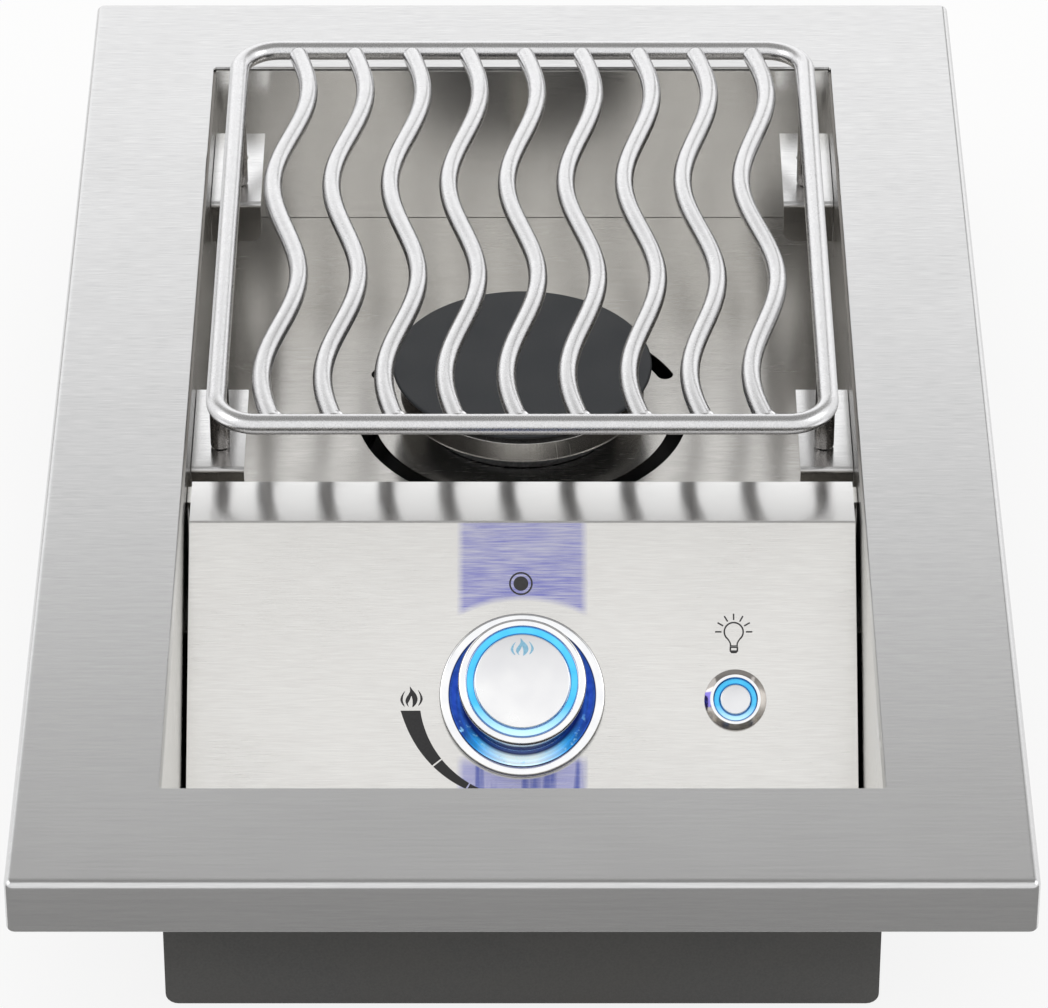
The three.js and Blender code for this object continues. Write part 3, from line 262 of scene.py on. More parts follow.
def rounded(corners, steps=5):
    """An outline whose corners, each (x, y, radius), are turned into arcs."""
    outline = []
    for i, (x, y, radius) in enumerate(corners):
        corner = Vector((x, y))
        if not radius:
            outline.append(corner)
            continue
        before = Vector(corners[i - 1][:2]) - corner
        after = Vector(corners[(i + 1) % len(corners)][:2]) - corner
        before.normalize()
        after.normalize()
        half = before.angle(after) / 2
        middle = corner + (before + after).normalized() * radius / math.sin(half)
        reach = radius / math.tan(half)
        first = corner + before * reach - middle
        last = corner + after * reach - middle
        turn = math.atan2(first.x * last.y - first.y * last.x, first.dot(last))
        for step in range(steps + 1):
            outline.append(middle + Matrix.Rotation(turn * step / steps, 2) @ first)
    return outline


def arc(radius, start, end, steps, middle=(0, 0)):
    """Points along an arc."""
    angles = [start + (end - start) * i / steps for i in range(steps + 1)]
    return [(middle[0] + radius * math.cos(a), middle[1] + radius * math.sin(a)) for a in angles]


def circle(radius, middle=(0, 0), steps=48):
    """Points round a circle."""
    return arc(radius, 0, 2 * math.pi, steps, middle)[:-1]


def oblong(left, right, low, high):
    """The corners of an upright rectangle."""
    return [(left, low), (right, low), (right, high), (left, high)]


def skinned(name, loops, capped=False):
    """A mesh over loops of points in mm, in turn: the last joins the first, or both are capped."""
    mesh = bpy.data.meshes.new(name)
    work = bmesh.new()
    rows = []
    for loop in loops:
        if len(set(loop)) == 1:
            rows.append([work.verts.new(Vector(loop[0]) * MM)] * len(loop))
        else:
            rows.append([work.verts.new(Vector(point) * MM) for point in loop])
    pairs = list(zip(rows, rows[1:]))
    if not capped:
        pairs.append((rows[-1], rows[0]))
    for lower, upper in pairs:
        for i in range(len(lower)):
            j = (i + 1) % len(lower)
            corners = []
            for vert in (lower[i], lower[j], upper[j], upper[i]):
                if vert not in corners:
                    corners.append(vert)
            if len(corners) > 2:
                work.faces.new(corners)
    if capped:
        work.faces.new(rows[0])
        work.faces.new(rows[-1])
    bmesh.ops.recalc_face_normals(work, faces=work.faces)
    work.to_mesh(mesh)
    work.free()
    return mesh


def extruded(name, outline, low, high, axis):
    """A closed outline in mm run along an axis: along X it lies in Y and Z, along Y in X and Z."""
    at = "XYZ".index(axis)
    loops = [[(*point[:at], far, *point[at:]) for point in outline] for far in (low, high)]
    return skinned(name, loops, capped=True)


def moved(mesh, matrix):
    """Moves a mesh by a matrix in mm."""
    mesh.transform(Matrix.Scale(MM, 4) @ matrix @ Matrix.Scale(1 / MM, 4))
    return mesh


def post(radius, low, high, sides=48, matrix=Matrix()):
    """A round cutter in mm about Z, moved by a matrix in mm."""
    return moved(extruded("post", circle(radius, steps=sides), low, high, "Z"), matrix)


def combined(name, mesh, others, operation="DIFFERENCE"):
    """A mesh with others cut from it or joined to it."""
    piece = new_piece(name, mesh)
    helpers = []
    for other in others:
        helper = new_piece("helper", other)
        helpers.append(helper)
        change = piece.modifiers.new("cut", "BOOLEAN")
        change.operation = operation
        change.solver = "EXACT"
        change.object = helper
    result = plain_mesh(piece, name)
    for helper in helpers:
        bpy.data.objects.remove(helper)
    bpy.data.objects.remove(piece)
    return result


def joined(name, meshes):
    """Several meshes as one."""
    whole = bpy.data.meshes.new(name)
    work = bmesh.new()
    for mesh in meshes:
        work.from_mesh(mesh)
    work.to_mesh(whole)
    work.free()
    return whole


def plain_mesh(piece, name):
    """The mesh of a piece with its modifiers applied."""
    evaluated = piece.evaluated_get(bpy.context.evaluated_depsgraph_get())
    mesh = bpy.data.meshes.new_from_object(evaluated)
    mesh.name = name
    return mesh


def folded(points, thickness, radii):
    """A folded sheet's outline from its fold points and their inner radii, thickened to the left."""
    ways = [(Vector(b) - Vector(a)).normalized() for a, b in zip(points, points[1:])]
    sides = [Vector((-way.y, way.x)) for way in ways]
    near = []
    far = []
    for i, point in enumerate(points):
        before = sides[max(i - 1, 0)]
        after = sides[min(i, len(sides) - 1)]
        shift = (before + after) * thickness / (1 + before.dot(after))
        inner = Vector(point) + shift
        turn = before.x * after.y - before.y * after.x
        if abs(turn) < 1e-6:
            near.append((*point, 0))
            far.append((*inner, 0))
            continue
        outside = radii[i] + (thickness if turn > 0 else 0)
        inside = radii[i] + (0 if turn > 0 else thickness)
        near.append((*point, outside))
        far.append((*inner, inside))
    return rounded(near + far[::-1])


def put(name, mesh, material, body, slot, *nodes):
    """Ends a piece: its finish, its body and the CAD nodes that it stands for. Its slot is not used."""
    mesh.materials.clear()
    mesh.materials.append(material)
    piece = new_piece(name, mesh, body)
    if nodes:
        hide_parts(*nodes)
    return piece


CASING_HALF = 127.3
CASING_FRONT = -240.4
CASING_REAR = 241.4
CASING_TOP = 94.3
CASING_FLANGE = 16
CASING_SHEET = 0.6
CASING_BEND = 3.9
INLET_X = 104
INLET_HOLE = 8.3
GAS_LINE_Z = 12.9
FOOT_SCREW_X = 96
FOOT_SCREW_Y = -159.7
FOOT_SCREW_HOLE = 1.95
casing_inside = CASING_HALF - CASING_SHEET
flange_end = CASING_HALF + CASING_FLANGE
flange_foot = CASING_TOP - CASING_SHEET
wrap_points = [
    (flange_end, CASING_TOP),
    (casing_inside, CASING_TOP),
    (casing_inside, CASING_SHEET),
    (-casing_inside, CASING_SHEET),
    (-casing_inside, CASING_TOP),
    (-flange_end, CASING_TOP),
]
wrap_outline = folded(wrap_points, CASING_SHEET, [0, 0.6, CASING_BEND, CASING_BEND, 0.6, 0])
casing_wrap = combined(
    "casing_wrap",
    extruded("wrap", wrap_outline, CASING_FRONT, CASING_REAR, "Y"),
    [
        post(FOOT_SCREW_HOLE, -2, 3, 24, Matrix.Translation((side * FOOT_SCREW_X, FOOT_SCREW_Y, 0)))
        for side in (-1, 1)
    ],
)
plate_outline = rounded([
    (-casing_inside, CASING_SHEET, CASING_BEND),
    (casing_inside, CASING_SHEET, CASING_BEND),
    (casing_inside, flange_foot, 0),
    (-casing_inside, flange_foot, 0),
])
front_plate = extruded("plate", plate_outline, CASING_FRONT, CASING_FRONT + CASING_SHEET, "Y")
inlet_place = Matrix.Translation((INLET_X, CASING_REAR, GAS_LINE_Z))
inlet_place @= Matrix.Rotation(math.pi / 2, 4, "X")
rear_plate = combined(
    "rear_plate",
    extruded("plate", plate_outline, CASING_REAR - CASING_SHEET, CASING_REAR, "Y"),
    [post(INLET_HOLE, -4, 4, 48, inlet_place)],
)
end_flanges = []
for low in (CASING_FRONT - CASING_FLANGE, CASING_REAR):
    strip = oblong(low, low + CASING_FLANGE, flange_foot, CASING_TOP)
    end_flanges.append(extruded("flange", strip, -flange_end, flange_end, "X"))
casing_mesh = joined("outer_casing_sheet", [casing_wrap, front_plate, rear_plate, *end_flanges])
smooth(casing_mesh)
put("outer_casing_sheet", casing_mesh, powder_coat, "casing", "casing_paint", "outer_casing")


# Liner walls: four angles of thin stainless sheet, brushed across, that line the well. Their
# flanges lie between the trim and the casing.
def facing(tree):
    """The way that a surface faces."""
    return add(tree, "ShaderNodeNewGeometry").outputs["Normal"]


def brushed(name, pale, dark, along, roughness):
    """Belt-brushed stainless: scratches along one axis, which draw reflections out across it."""
    long_way = "XYZ".index(along)
    material, shader, place = new_finish(name, 1, roughness, Anisotropic=0.75)
    tree = shader.id_data
    fine = [0.3] * 3
    fine[long_way] = 9
    coarse = [1.1] * 3
    coarse[long_way] = 40
    scratches = grain(place, fine, 3)
    bands = grain(place, coarse, 2)
    haze = grain(place, 45, 2)
    tone = add(tree, "ShaderNodeMath", {
        0: between(scratches, 0, 0.7),
        1: between(bands, 0, 0.3),
    }, operation="ADD")
    rough = add(tree, "ShaderNodeMath", {
        0: between(scratches, roughness - 0.03, roughness + 0.03),
        1: between(haze, -0.01, 0.015),
    }, operation="ADD")
    tone = blended(tone.outputs[0], pale, dark)
    finished(shader, tone, rough.outputs[0], (scratches, 0.003), (bands, 0.0015))
    direction = [0, 0, 0]
    direction[long_way] = 1
    ways = {0: facing(tree), 1: direction}
    across = add(tree, "ShaderNodeVectorMath", ways, operation="CROSS_PRODUCT")
    nudge = (0.001, 0.01, 0.001)
    never_zero = add(tree, "ShaderNodeVectorMath", {0: across, 1: nudge}, operation="ADD")
    tree.links.new(never_zero.outputs[0], shader.inputs["Tangent"])
    return material, shader, place


def parts(vector):
    """The X, Y and Z of a vector, as links."""
    return add(vector.id_data, "ShaderNodeSeparateXYZ", {0: vector}).outputs


def recoloured(shader, share, colour):
    """Takes a shader's colour towards another by a share."""
    base = shader.inputs["Base Color"]
    shader.id_data.links.new(blended(share, base.links[0].from_socket, colour), base)


liner_steel = brushed("brushed_stainless_liner", 0xf2f1ee, 0xe6e4e0, "X", 0.2)[0]
# The side walls are painted dark, a painted reflection of each other's dark, and their front ends are
# painted pale, a painted highlight where they catch the light
liner_side_steel, shader, place = brushed("brushed_stainless_liner_side", 0x7b7874, 0x6f6c68, "Y", 0.24)
recoloured(shader, between(parts(place)[1], 1, 0, (-0.13, -0.03)), 0xe9e8e5)
dress(liner_steel, "liner_rear_wall", "liner_front_wall", "heat_baffle")
dress(liner_side_steel, "liner_left_wall", "liner_right_wall")

# Burner floor: a tray of stainless sheet on the liner walls, brushed across, with two curved
# air slots pressed out round the burner.
FLOOR_TOP = 23.6
FLOOR_SHEET = 1.0
FLOOR_HALF = 125.6
FLOOR_FRONT = -50.0
FLOOR_REAR = 239.7
FLOOR_FLANGE = 10
BURNER_Y = 98.0
BOWL_RADIUS = 28
BOWL_PLAY = 0.3
SLOT_OUTER = 66.2
SLOT_WIDTH = 6.6
IGNITER_Y = 151.8
IGNITER_HOLE = 3.7
FRONT_BRIDGE = math.radians(12)
REAR_BRIDGE = math.radians(21)
floor_cut = (FLOOR_TOP - 3, FLOOR_TOP + 1)


def air_slot(start, end):
    """A curved slot with round ends, as a cutter through the floor."""
    half = SLOT_WIDTH / 2
    middle = SLOT_OUTER - half
    start += half / middle
    end -= half / middle
    last = (middle * math.cos(end), middle * math.sin(end))
    first = (middle * math.cos(start), middle * math.sin(start))
    outline = arc(SLOT_OUTER, start, end, 72)
    outline += arc(half, end, end + math.pi, 12, last)[1:-1]
    outline += arc(middle - half, end, start, 72)
    outline += arc(half, start + math.pi, start + 2 * math.pi, 12, first)[1:-1]
    outline = [(x, y + BURNER_Y) for x, y in outline]
    return extruded("slot", outline, *floor_cut, "Z")


floor_inside = FLOOR_HALF - FLOOR_SHEET
floor_under = FLOOR_TOP - FLOOR_SHEET
floor_foot = floor_under - FLOOR_FLANGE
floor_outline = rounded([
    (-FLOOR_HALF, floor_foot, 0),
    (-floor_inside, floor_foot, 0),
    (-floor_inside, floor_under, 0.4),
    (floor_inside, floor_under, 0.4),
    (floor_inside, floor_foot, 0),
    (FLOOR_HALF, floor_foot, 0),
    (FLOOR_HALF, FLOOR_TOP, 1.2),
    (-FLOOR_HALF, FLOOR_TOP, 1.2),
])
burner_place = Matrix.Translation((0, BURNER_Y, 0))
floor_cutters = [
    air_slot(REAR_BRIDGE, math.pi - REAR_BRIDGE),
    air_slot(math.pi + FRONT_BRIDGE, 2 * math.pi - FRONT_BRIDGE),
    post(BOWL_RADIUS + BOWL_PLAY, *floor_cut, 64, burner_place),
    post(IGNITER_HOLE, *floor_cut, 24, Matrix.Translation((0, IGNITER_Y, 0))),
]
floor_blank = extruded("floor", floor_outline, FLOOR_FRONT, FLOOR_REAR, "Y")
floor_mesh = combined("burner_floor_sheet", floor_blank, floor_cutters)
smooth(floor_mesh)
floor_steel = brushed("brushed_stainless_floor", 0xe2e0dd, 0xd6d4d0, "X", 0.24)[0]
put("burner_floor_sheet", floor_mesh, floor_steel, "casing", "liner_steel", "burner_floor")


# Burner: a cast aluminium base, a turned steel head and a loose cap with matt black enamel. They
# stand on one axis, and two screws from below hold the base to the floor.
def add_turned(name, corners, material, body, slot, node, matrix, sides=96, steps=5):
    """A turned piece from corners of a radius, a height and a rounding, counter-clockwise."""
    loops = []
    for radius, height in rounded(corners, steps):
        loops.append([(x, y, height) for x, y in circle(radius, steps=sides)])
    mesh = skinned(name, loops)
    smooth(mesh)
    return put(name, moved(mesh, matrix), material, body, slot, node)


def size_of(number):
    """A number without its sign."""
    return add(number.id_data, "ShaderNodeMath", {0: number}, operation="ABSOLUTE").outputs[0]


# Cast aluminium: grainy from the mould, dulled by heat
cast_aluminium, shader, place = new_finish("cast_aluminium", 1, 0.5)
mould = grain(place, 0.8, 4)
heat = grain(place, 12)
tone = blended(between(mould, 0, 1), 0x6f7072, 0x4f5052)
tone = blended(between(heat, 0, 0.5), tone, 0x3c3b3a)
finished(shader, tone, between(mould, 0.42, 0.6), (mould, 0.08))

# Turned steel: fine lathe rings round the axis, which draw reflections up and down the skirt, and
# streaks from the axis outwards. Its left and right sides are painted darker, a painted reflection of
# the room.
turned_steel, shader, place = new_finish("turned_stainless", 1, 0.2, Anisotropic=0.6)
tree = shader.id_data
to_axis = {"Vector": place, "Location": (0, -BURNER_Y * MM, 0)}
centred = add(tree, "ShaderNodeMapping", to_axis).outputs[0]
across, along, up = parts(centred)
angle = add(tree, "ShaderNodeMath", {0: along, 1: across}, operation="ARCTAN2")
unrolled = add(tree, "ShaderNodeCombineXYZ", {0: angle, 1: up}).outputs[0]
rings = grain(centred, (400, 400, 0.25), 3)
streak = grain(unrolled, (14, 40, 40), 3)
tone = blended(between(rings, 0, 1), 0xedebe8, 0xdddad6)
tone = blended(between(streak, 0, 0.7), tone, 0x9c9995)
# Painted reflection: darker towards the left and right sides of the axis
tone = blended(between(size_of(across), 0, 0.7, (0.012, 0.042)), tone, 0x6a6764)
finished(shader, tone, between(streak, 0.16, 0.28), (rings, 0.004))
backwards = add(tree, "ShaderNodeMath", {0: along, 1: -1}, operation="MULTIPLY")
lathe_way = add(tree, "ShaderNodeCombineXYZ", {0: backwards, 1: across})
ways = {0: facing(tree), 1: lathe_way}
upwards = add(tree, "ShaderNodeVectorMath", ways, operation="CROSS_PRODUCT")
tree.links.new(upwards.outputs[0], shader.inputs["Tangent"])

# Vitreous enamel, matt black: sprayed on and fired, with a dusty sheen and fine pits
enamel, shader, place = new_finish("matt_black_enamel", 0, 0.5, IOR=1.5)
pits = grain(place, 0.5, 3)
dust = grain(place, 22, 3)
tone = blended(between(pits, 0, 1), 0x303236, 0x3b3e42)
tone = blended(between(dust, 0, 0.35), tone, 0x474a4e)
finished(shader, tone, between(dust, 0.42, 0.58), (pits, 0.03))

FLANGE_FOOT = FLOOR_TOP + 0.3
FLANGE_TOP = FLANGE_FOOT + 3.1
add_turned("burner_bowl", [
    (0, 2.6, 0),
    (BOWL_RADIUS, 2.6, 2),
    (BOWL_RADIUS, FLANGE_FOOT, 0),
    (40, FLANGE_FOOT, 0.3),
    (40, FLANGE_TOP, 0.8),
    (37.5, FLANGE_TOP, 0.5),
    (37.5, 35.9, 0.3),
    (34, 35.9, 0.3),
    (34, FLANGE_TOP, 0),
    (25.4, FLANGE_TOP, 0.5),
    (25.4, 5.2, 2),
    (0, 5.2, 0),
], cast_aluminium, "casing", "cast_aluminium", "burner_base", burner_place)

HEAD_TOP = 43.6
HEAD_FOOT = 32.6
PORT_COUNT = 24
PORT_WIDTH = 1.8
PORT_DEPTH = 2.6
head_ring = add_turned("burner_head_ring", [
    (33.2, HEAD_FOOT + 3.6, 0),
    (40.4, HEAD_FOOT + 3.6, 0),
    (47.1, HEAD_FOOT, 0),
    (48.5, HEAD_FOOT, 0.2),
    (48.5, HEAD_FOOT + 0.9, 0.3),
    (46.4, HEAD_FOOT + 7.1, 0.6),
    (43, HEAD_TOP - 1.4, 0.5),
    (43, HEAD_TOP, 0.2),
    (35.8, HEAD_TOP, 0.2),
    (35.8, HEAD_TOP - 4.9, 0),
    (33.2, HEAD_TOP - 4.9, 0),
], turned_steel, "casing", "burner_steel", "burner_head", burner_place, 192, 4)
port_outline = oblong(34, 47, -PORT_WIDTH / 2, PORT_WIDTH / 2)
ports = []
for i in range(PORT_COUNT):
    turn = Matrix.Rotation(2 * math.pi * i / PORT_COUNT, 4, "Z")
    cutter = extruded("port", port_outline, HEAD_TOP - PORT_DEPTH, HEAD_TOP + 1, "Z")
    ports.append(moved(cutter, burner_place @ turn))
head_ring.data = combined("burner_head_ring", head_ring.data, [joined("ports", ports)])
smooth(head_ring.data)

CAP_TOP = 47.1
CAP_UNDER = CAP_TOP - 3.2
add_turned("burner_cap_plate", [
    (0, CAP_UNDER, 0),
    (33, CAP_UNDER, 0),
    (33, CAP_TOP - 7.2, 0.3),
    (35.4, CAP_TOP - 7.2, 0.3),
    (35.4, CAP_UNDER, 0),
    (49, CAP_UNDER, 1),
    (51.5, CAP_TOP - 1.3, 0.8),
    (51.5, CAP_TOP, 1),
    (0, CAP_TOP, 0),
], enamel, "burner_cap", "cap_enamel", "burner_cap", burner_place, 192, 8)

# Gas way: a brass jet, a plated venturi tube, and a brass pipe with its bulkhead fitting and nut.
# They are bought parts, joined under the floor and seen only from the rear.
brass, shader, place = new_finish("machined_brass", 1, 0.32)
marks = grain(place, (0.4, 6, 0.4), 3)
tarnish = grain(place, 9, 3)
tone = blended(between(marks, 0, 1), 0xd9b566, 0xb8923f)
tone = blended(between(tarnish, 0, 0.5), tone, 0x94713a)
finished(shader, tone, between(tarnish, 0.25, 0.42), (marks, 0.02))


def mottled(name, metallic, size, tones, rough, depth, detail=3, **fixed):
    """A finish of two tones in soft spots of a size in mm, with its roughness and bump in mm."""
    material, shader, place = new_finish(name, metallic, sum(rough) / 2, **fixed)
    spots = grain(place, size, detail)
    finished(shader, blended(between(spots, 0, 1), *tones), between(spots, *rough), (spots, depth))
    return material, shader, place


zinc = mottled("zinc_plated_steel", 1, 1.5, (0xb9bbbe, 0x8e9093), (0.3, 0.48), 0.02)[0]
dress(brass, "gas_orifice", "gas_inlet_pipe", "gas_inlet_fitting", "gas_inlet_nut", "valve_plug")
dress(zinc, "venturi_tube", "valve_bonnet", "valve_stem", "light_switch_nut")
dress(zinc, "burner_screw_left", "burner_screw_right", "valve_screw_left", "valve_screw_right")
dress(zinc, "panel_screw_left", "panel_screw_right", "igniter_electrode")
dress(cast_aluminium, "gas_valve_body")

# Igniter: a glazed ceramic with a steel electrode behind the burner, and its module and lead
# under the floor. The module is moulded plastic, and the lead is dark grey silicone rubber.
ceramic = mottled("glazed_ceramic", 0, 3, (0xece8dc, 0xdcd6c6), (0.18, 0.34), 0.02, IOR=1.52)[0]
black = (0x1b1c1e, 0x2a2b2d)
moulded = mottled("moulded_black_plastic", 0, 0.6, black, (0.42, 0.6), 0.03, IOR=1.5)[0]
dark_grey = (0x3a3a3c, 0x2c2c2e)
rubber = mottled("silicone_rubber_lead", 0, 2, dark_grey, (0.5, 0.7), 0.02, IOR=1.42)[0]
dress(ceramic, "igniter_ceramic")
dress(moulded, "ignition_module", "light_switch_base")
dress(rubber, "ignition_lead")

# Control panel: one sheet of brushed stainless, folded into a level ledge, a slope and a hidden
# foot. Two screws hold its foot to the casing.
SLOPE = math.radians(42)
LEDGE_TOP = 84.6
LEDGE_REAR = -37.3
LEDGE_FRONT = -63.0
FOOT_TOP = 3.8
FOOT_REAR = -152.7
FOOT_FRONT = -166.7
PANEL_SHEET = 1.2
PANEL_HALF = 124.1
panel_points = [
    (LEDGE_REAR, LEDGE_TOP),
    (LEDGE_FRONT, LEDGE_TOP),
    (FOOT_REAR, FOOT_TOP),
    (FOOT_FRONT, FOOT_TOP),
]


def on_panel(x, distance):
    """The frame of a point on the slope, in mm: its Z stands out of the sheet."""
    y = LEDGE_FRONT - distance * math.cos(SLOPE)
    z = LEDGE_TOP - distance * math.sin(SLOPE)
    return Matrix.Translation((x, y, z)) @ Matrix.Rotation(SLOPE, 4, "X")


KNOB_DISTANCE = 66.154
KNOB_HOLE = 7
SWITCH_X = 78.9
SWITCH_DISTANCE = 67.804
SWITCH_HOLE = 9.8
knob_place = on_panel(0, KNOB_DISTANCE)
switch_place = on_panel(SWITCH_X, SWITCH_DISTANCE)
panel_blank = folded(panel_points, PANEL_SHEET, [0, 0.6, 0.6, 0])
panel_mesh = combined(
    "control_panel_sheet",
    extruded("panel", panel_blank, -PANEL_HALF, PANEL_HALF, "X"),
    [post(KNOB_HOLE, -3, 3, 32, knob_place), post(SWITCH_HOLE, -3, 3, 48, switch_place)],
)
smooth(panel_mesh, 12)


def round_place(place, matrix):
    """A round piece's own frame, in mm: the distance from its axis, and X, Y and Z as links."""
    tree = place.id_data
    back = matrix.inverted()
    in_mm = add(tree, "ShaderNodeVectorMath", {0: place, "Scale": 1 / MM}, operation="SCALE")
    own = add(tree, "ShaderNodeMapping", {
        "Vector": in_mm,
        "Location": back.translation,
        "Rotation": back.to_euler(),
    }).outputs[0]
    flat = add(tree, "ShaderNodeVectorMath", {0: own, 1: (1, 1, 0)}, operation="MULTIPLY")
    radius = add(tree, "ShaderNodeVectorMath", {0: flat}, operation="LENGTH")
    return radius.outputs["Value"], *parts(own)


def product(first, *others):
    """Several shares multiplied."""
    for other in others:
        both = {0: first, 1: other}
        first = add(first.id_data, "ShaderNodeMath", both, operation="MULTIPLY").outputs[0]
    return first


# The lit bezel's violet-blue glow is painted into the brushed slope's colour, in a band above the bezel
# and one below it
panel_steel, shader, place = brushed("brushed_stainless_panel", 0xf0efec, 0xebe9e6, "X", 0.24)
# The level ledge is smoother than the slope, and painted brighter as a painted highlight
level = parts(facing(shader.id_data))[2]
rough = shader.inputs["Roughness"]
finer = product(rough.links[0].from_socket, between(level, 1, 0.8, (0.8, 0.95)))
shader.id_data.links.new(finer, rough)
recoloured(shader, between(level, 0, 0.8, (0.8, 0.95)), 0xffffff)
from_knob, across, upwards = round_place(place, knob_place)[:3]
streaks = grain(place, (12, 0.5, 0.5), 3)
mottle = grain(place, (16, 10, 10))
beside = between(size_of(across), 1, 0, (21.5, 24.5))
# The upper band's lower edge bows down at its ends, and the band pales a little upwards
bowed = add(shader.id_data, "ShaderNodeMath", {
    0: product(across, across),
    1: 0.0106,
    2: upwards,
}, operation="MULTIPLY_ADD").outputs[0]
upper_glow = product(
    beside,
    between(bowed, 0, 1, (35.8, 38.6)),
    between(upwards, 0, 1, (5, 15)),
    between(upwards, 1, 0.8, (42, 62)),
    between(upwards, 1, 0, (65.4, 66)),
    between(streaks, 0.45, 1),
    between(mottle, 0.75, 1),
)
recoloured(shader, upper_glow, 0x686cca)
lower_glow = product(
    beside,
    between(from_knob, 0, 1, (30.9, 31.5)),
    between(upwards, 0.85, 0, (-26, -22)),
    between(upwards, 0, 1, (-52, -40)),
    between(streaks, 0.75, 1),
)
recoloured(shader, lower_glow, 0x9a9cd4)
# Darker blue painted glow runs down the lower band
runs = grain(place, (4, 60, 60))
deep_glow = product(lower_glow, between(runs, 0, 1, (0.48, 0.6)))
recoloured(shader, deep_glow, 0x4a5cae)
put("control_panel_sheet", panel_mesh, panel_steel, "casing", "panel_steel", "control_panel")

# Printed marks: screen-printed charcoal ink on the slope, with an off mark over the knob, a
# flame and a tapered dial beside it, and a lamp mark over the light's switch.
MARK_HEIGHT = 0.08
charcoal = (0x2b2a2b, 0x383738)
ink = mottled("screen_printed_ink", 0, 0.8, charcoal, (0.38, 0.52), 0.02, IOR=1.5)[0]


def add_marks(name, outlines, material, matrix, body, slot, low):
    """Printed shapes, each an outline with holes in it, raised a little from a height in mm."""
    mesh = bpy.data.meshes.new(name)
    work = bmesh.new()
    for loops in outlines:
        edges = []
        for loop in loops:
            corners = [work.verts.new(Vector((*point, low)) * MM) for point in loop]
            edges += [work.edges.new((corners[i - 1], corners[i])) for i in range(len(corners))]
        bmesh.ops.triangle_fill(work, use_beauty=True, edges=edges)
    bmesh.ops.recalc_face_normals(work, faces=work.faces)
    raised = bmesh.ops.extrude_face_region(work, geom=work.faces[:])
    lifted = [part for part in raised["geom"] if isinstance(part, bmesh.types.BMVert)]
    bmesh.ops.translate(work, verts=lifted, vec=(0, 0, MARK_HEIGHT * MM))
    bmesh.ops.recalc_face_normals(work, faces=work.faces)
    work.to_mesh(mesh)
    work.free()
    return put(name, moved(mesh, matrix), material, body, slot)


DIAL_INNER = 38.1
DIAL_TOP = 45.4
DIAL_END = 38.3
DIAL_LEVEL = 5.5


def dial_piece(start, end):
    """A part of the dial between two angles below the knob's left, thinner as it goes round."""
    level = [math.degrees(math.asin(DIAL_LEVEL / radius)) for radius in (DIAL_TOP, DIAL_INNER)]
    outer = []
    inner = []
    for i in range(33):
        for side, points in ((0, outer), (1, inner)):
            first = max(start, level[side])
            degrees = first + (end - first) * i / 32
            share = (degrees - level[0]) / (90 - level[0])
            radius = DIAL_INNER if side else DIAL_TOP - (DIAL_TOP - DIAL_END) * share ** 0.85
            angle = math.radians(180 + degrees)
            points.append((radius * math.cos(angle), radius * math.sin(angle)))
    return [outer + inner[::-1]]


def leaf(points):
    """A smooth closed shape through given points."""
    count = len(points)
    shape = []
    for i in range(count):
        before, here, after, further = (Vector(points[(i + k) % count]) for k in (-1, 0, 1, 2))
        for step in range(6):
            t = step / 6
            shape.append(0.5 * (
                2 * here
                + (after - before) * t
                + (2 * before - 5 * here + 4 * after - further) * t ** 2
                + (3 * here - before - 3 * after + further) * t ** 3
            ))
    return [tuple(point) for point in shape]


def flame(middle, width, height):
    """A plain forked flame between two upright strokes."""
    body = [(-0.07, 0.5), (0.04, 0.35), (0.2, 0.14), (0.27, -0.08), (0.23, -0.27), (0.12, -0.43),
            (0.04, -0.47), (0.05, -0.31), (0.04, -0.12), (-0.01, 0.05), (-0.07, -0.12), (-0.16, -0.31),
            (-0.12, -0.45), (-0.21, -0.36), (-0.27, -0.2), (-0.23, -0.03), (-0.12, 0.16), (-0.07, 0.3)]
    stroke = [(0.29, 0.33), (0.42, 0.16), (0.5, -0.08), (0.42, -0.3), (0.3, -0.41), (0.37, -0.22),
              (0.39, -0.07), (0.37, 0.11)]
    other = [(-x, y - 0.04) for x, y in stroke[::-1]]
    shapes = []
    for outline in (body, stroke, other):
        placed = [(middle[0] + x * width, middle[1] + y * height) for x, y in outline]
        shapes.append([leaf(placed)])
    return shapes


def lamp_mark(middle):
    """An outlined bulb on a small cap, with seven rays round its upper half, in mm."""
    x, y = middle
    glass = arc(3.8, math.radians(-52), math.radians(232), 40)
    glass += [(-1.75, -3.9), (-1.5, -4.6), (-1.5, -5.5), (1.5, -5.5), (1.5, -4.6), (1.75, -3.9)]
    clear = arc(3.22, math.radians(-50), math.radians(230), 40)
    clear += [(-1.3, -3.7), (-0.98, -4.5), (-0.98, -5.1), (0.98, -5.1), (0.98, -4.5), (1.3, -3.7)]
    cap = [(-1.6, -5.6), (1.6, -5.6), (1.6, -7.3), (0.9, -8.1), (-0.9, -8.1), (-1.6, -7.3)]
    window = oblong(-1, 1, -6.1, -7)
    shapes = [[glass, clear], [cap, window]]
    for i in range(7):
        angle = math.radians(30 * i)
        way = Vector((math.cos(angle), math.sin(angle)))
        side = Vector((-way.y, way.x)) * 0.28
        near = way * 4.5
        far = way * 6.9
        shapes.append([[tuple(near - side), tuple(far - side), tuple(far + side), tuple(near + side)]])
    return [[[(x + px, y + py) for px, py in loop] for loop in loops] for loops in shapes]


OFF_DISTANCE = 23.6
off_place = (-0.5, KNOB_DISTANCE - OFF_DISTANCE)
panel_marks = [
    [circle(4.4, off_place), circle(3.75, off_place)],
    [circle(2.75, off_place)],
    dial_piece(0, 38.1),
    dial_piece(38.9, 59),
    dial_piece(59.8, 88),
    *flame((-41.0, -0.4), 8.3, 7.9),
    *lamp_mark((SWITCH_X - 0.4, KNOB_DISTANCE - SWITCH_DISTANCE + 25.9)),
]
add_marks("panel_marks", panel_marks, ink, knob_place, "casing", "black_plastic", 0.01)
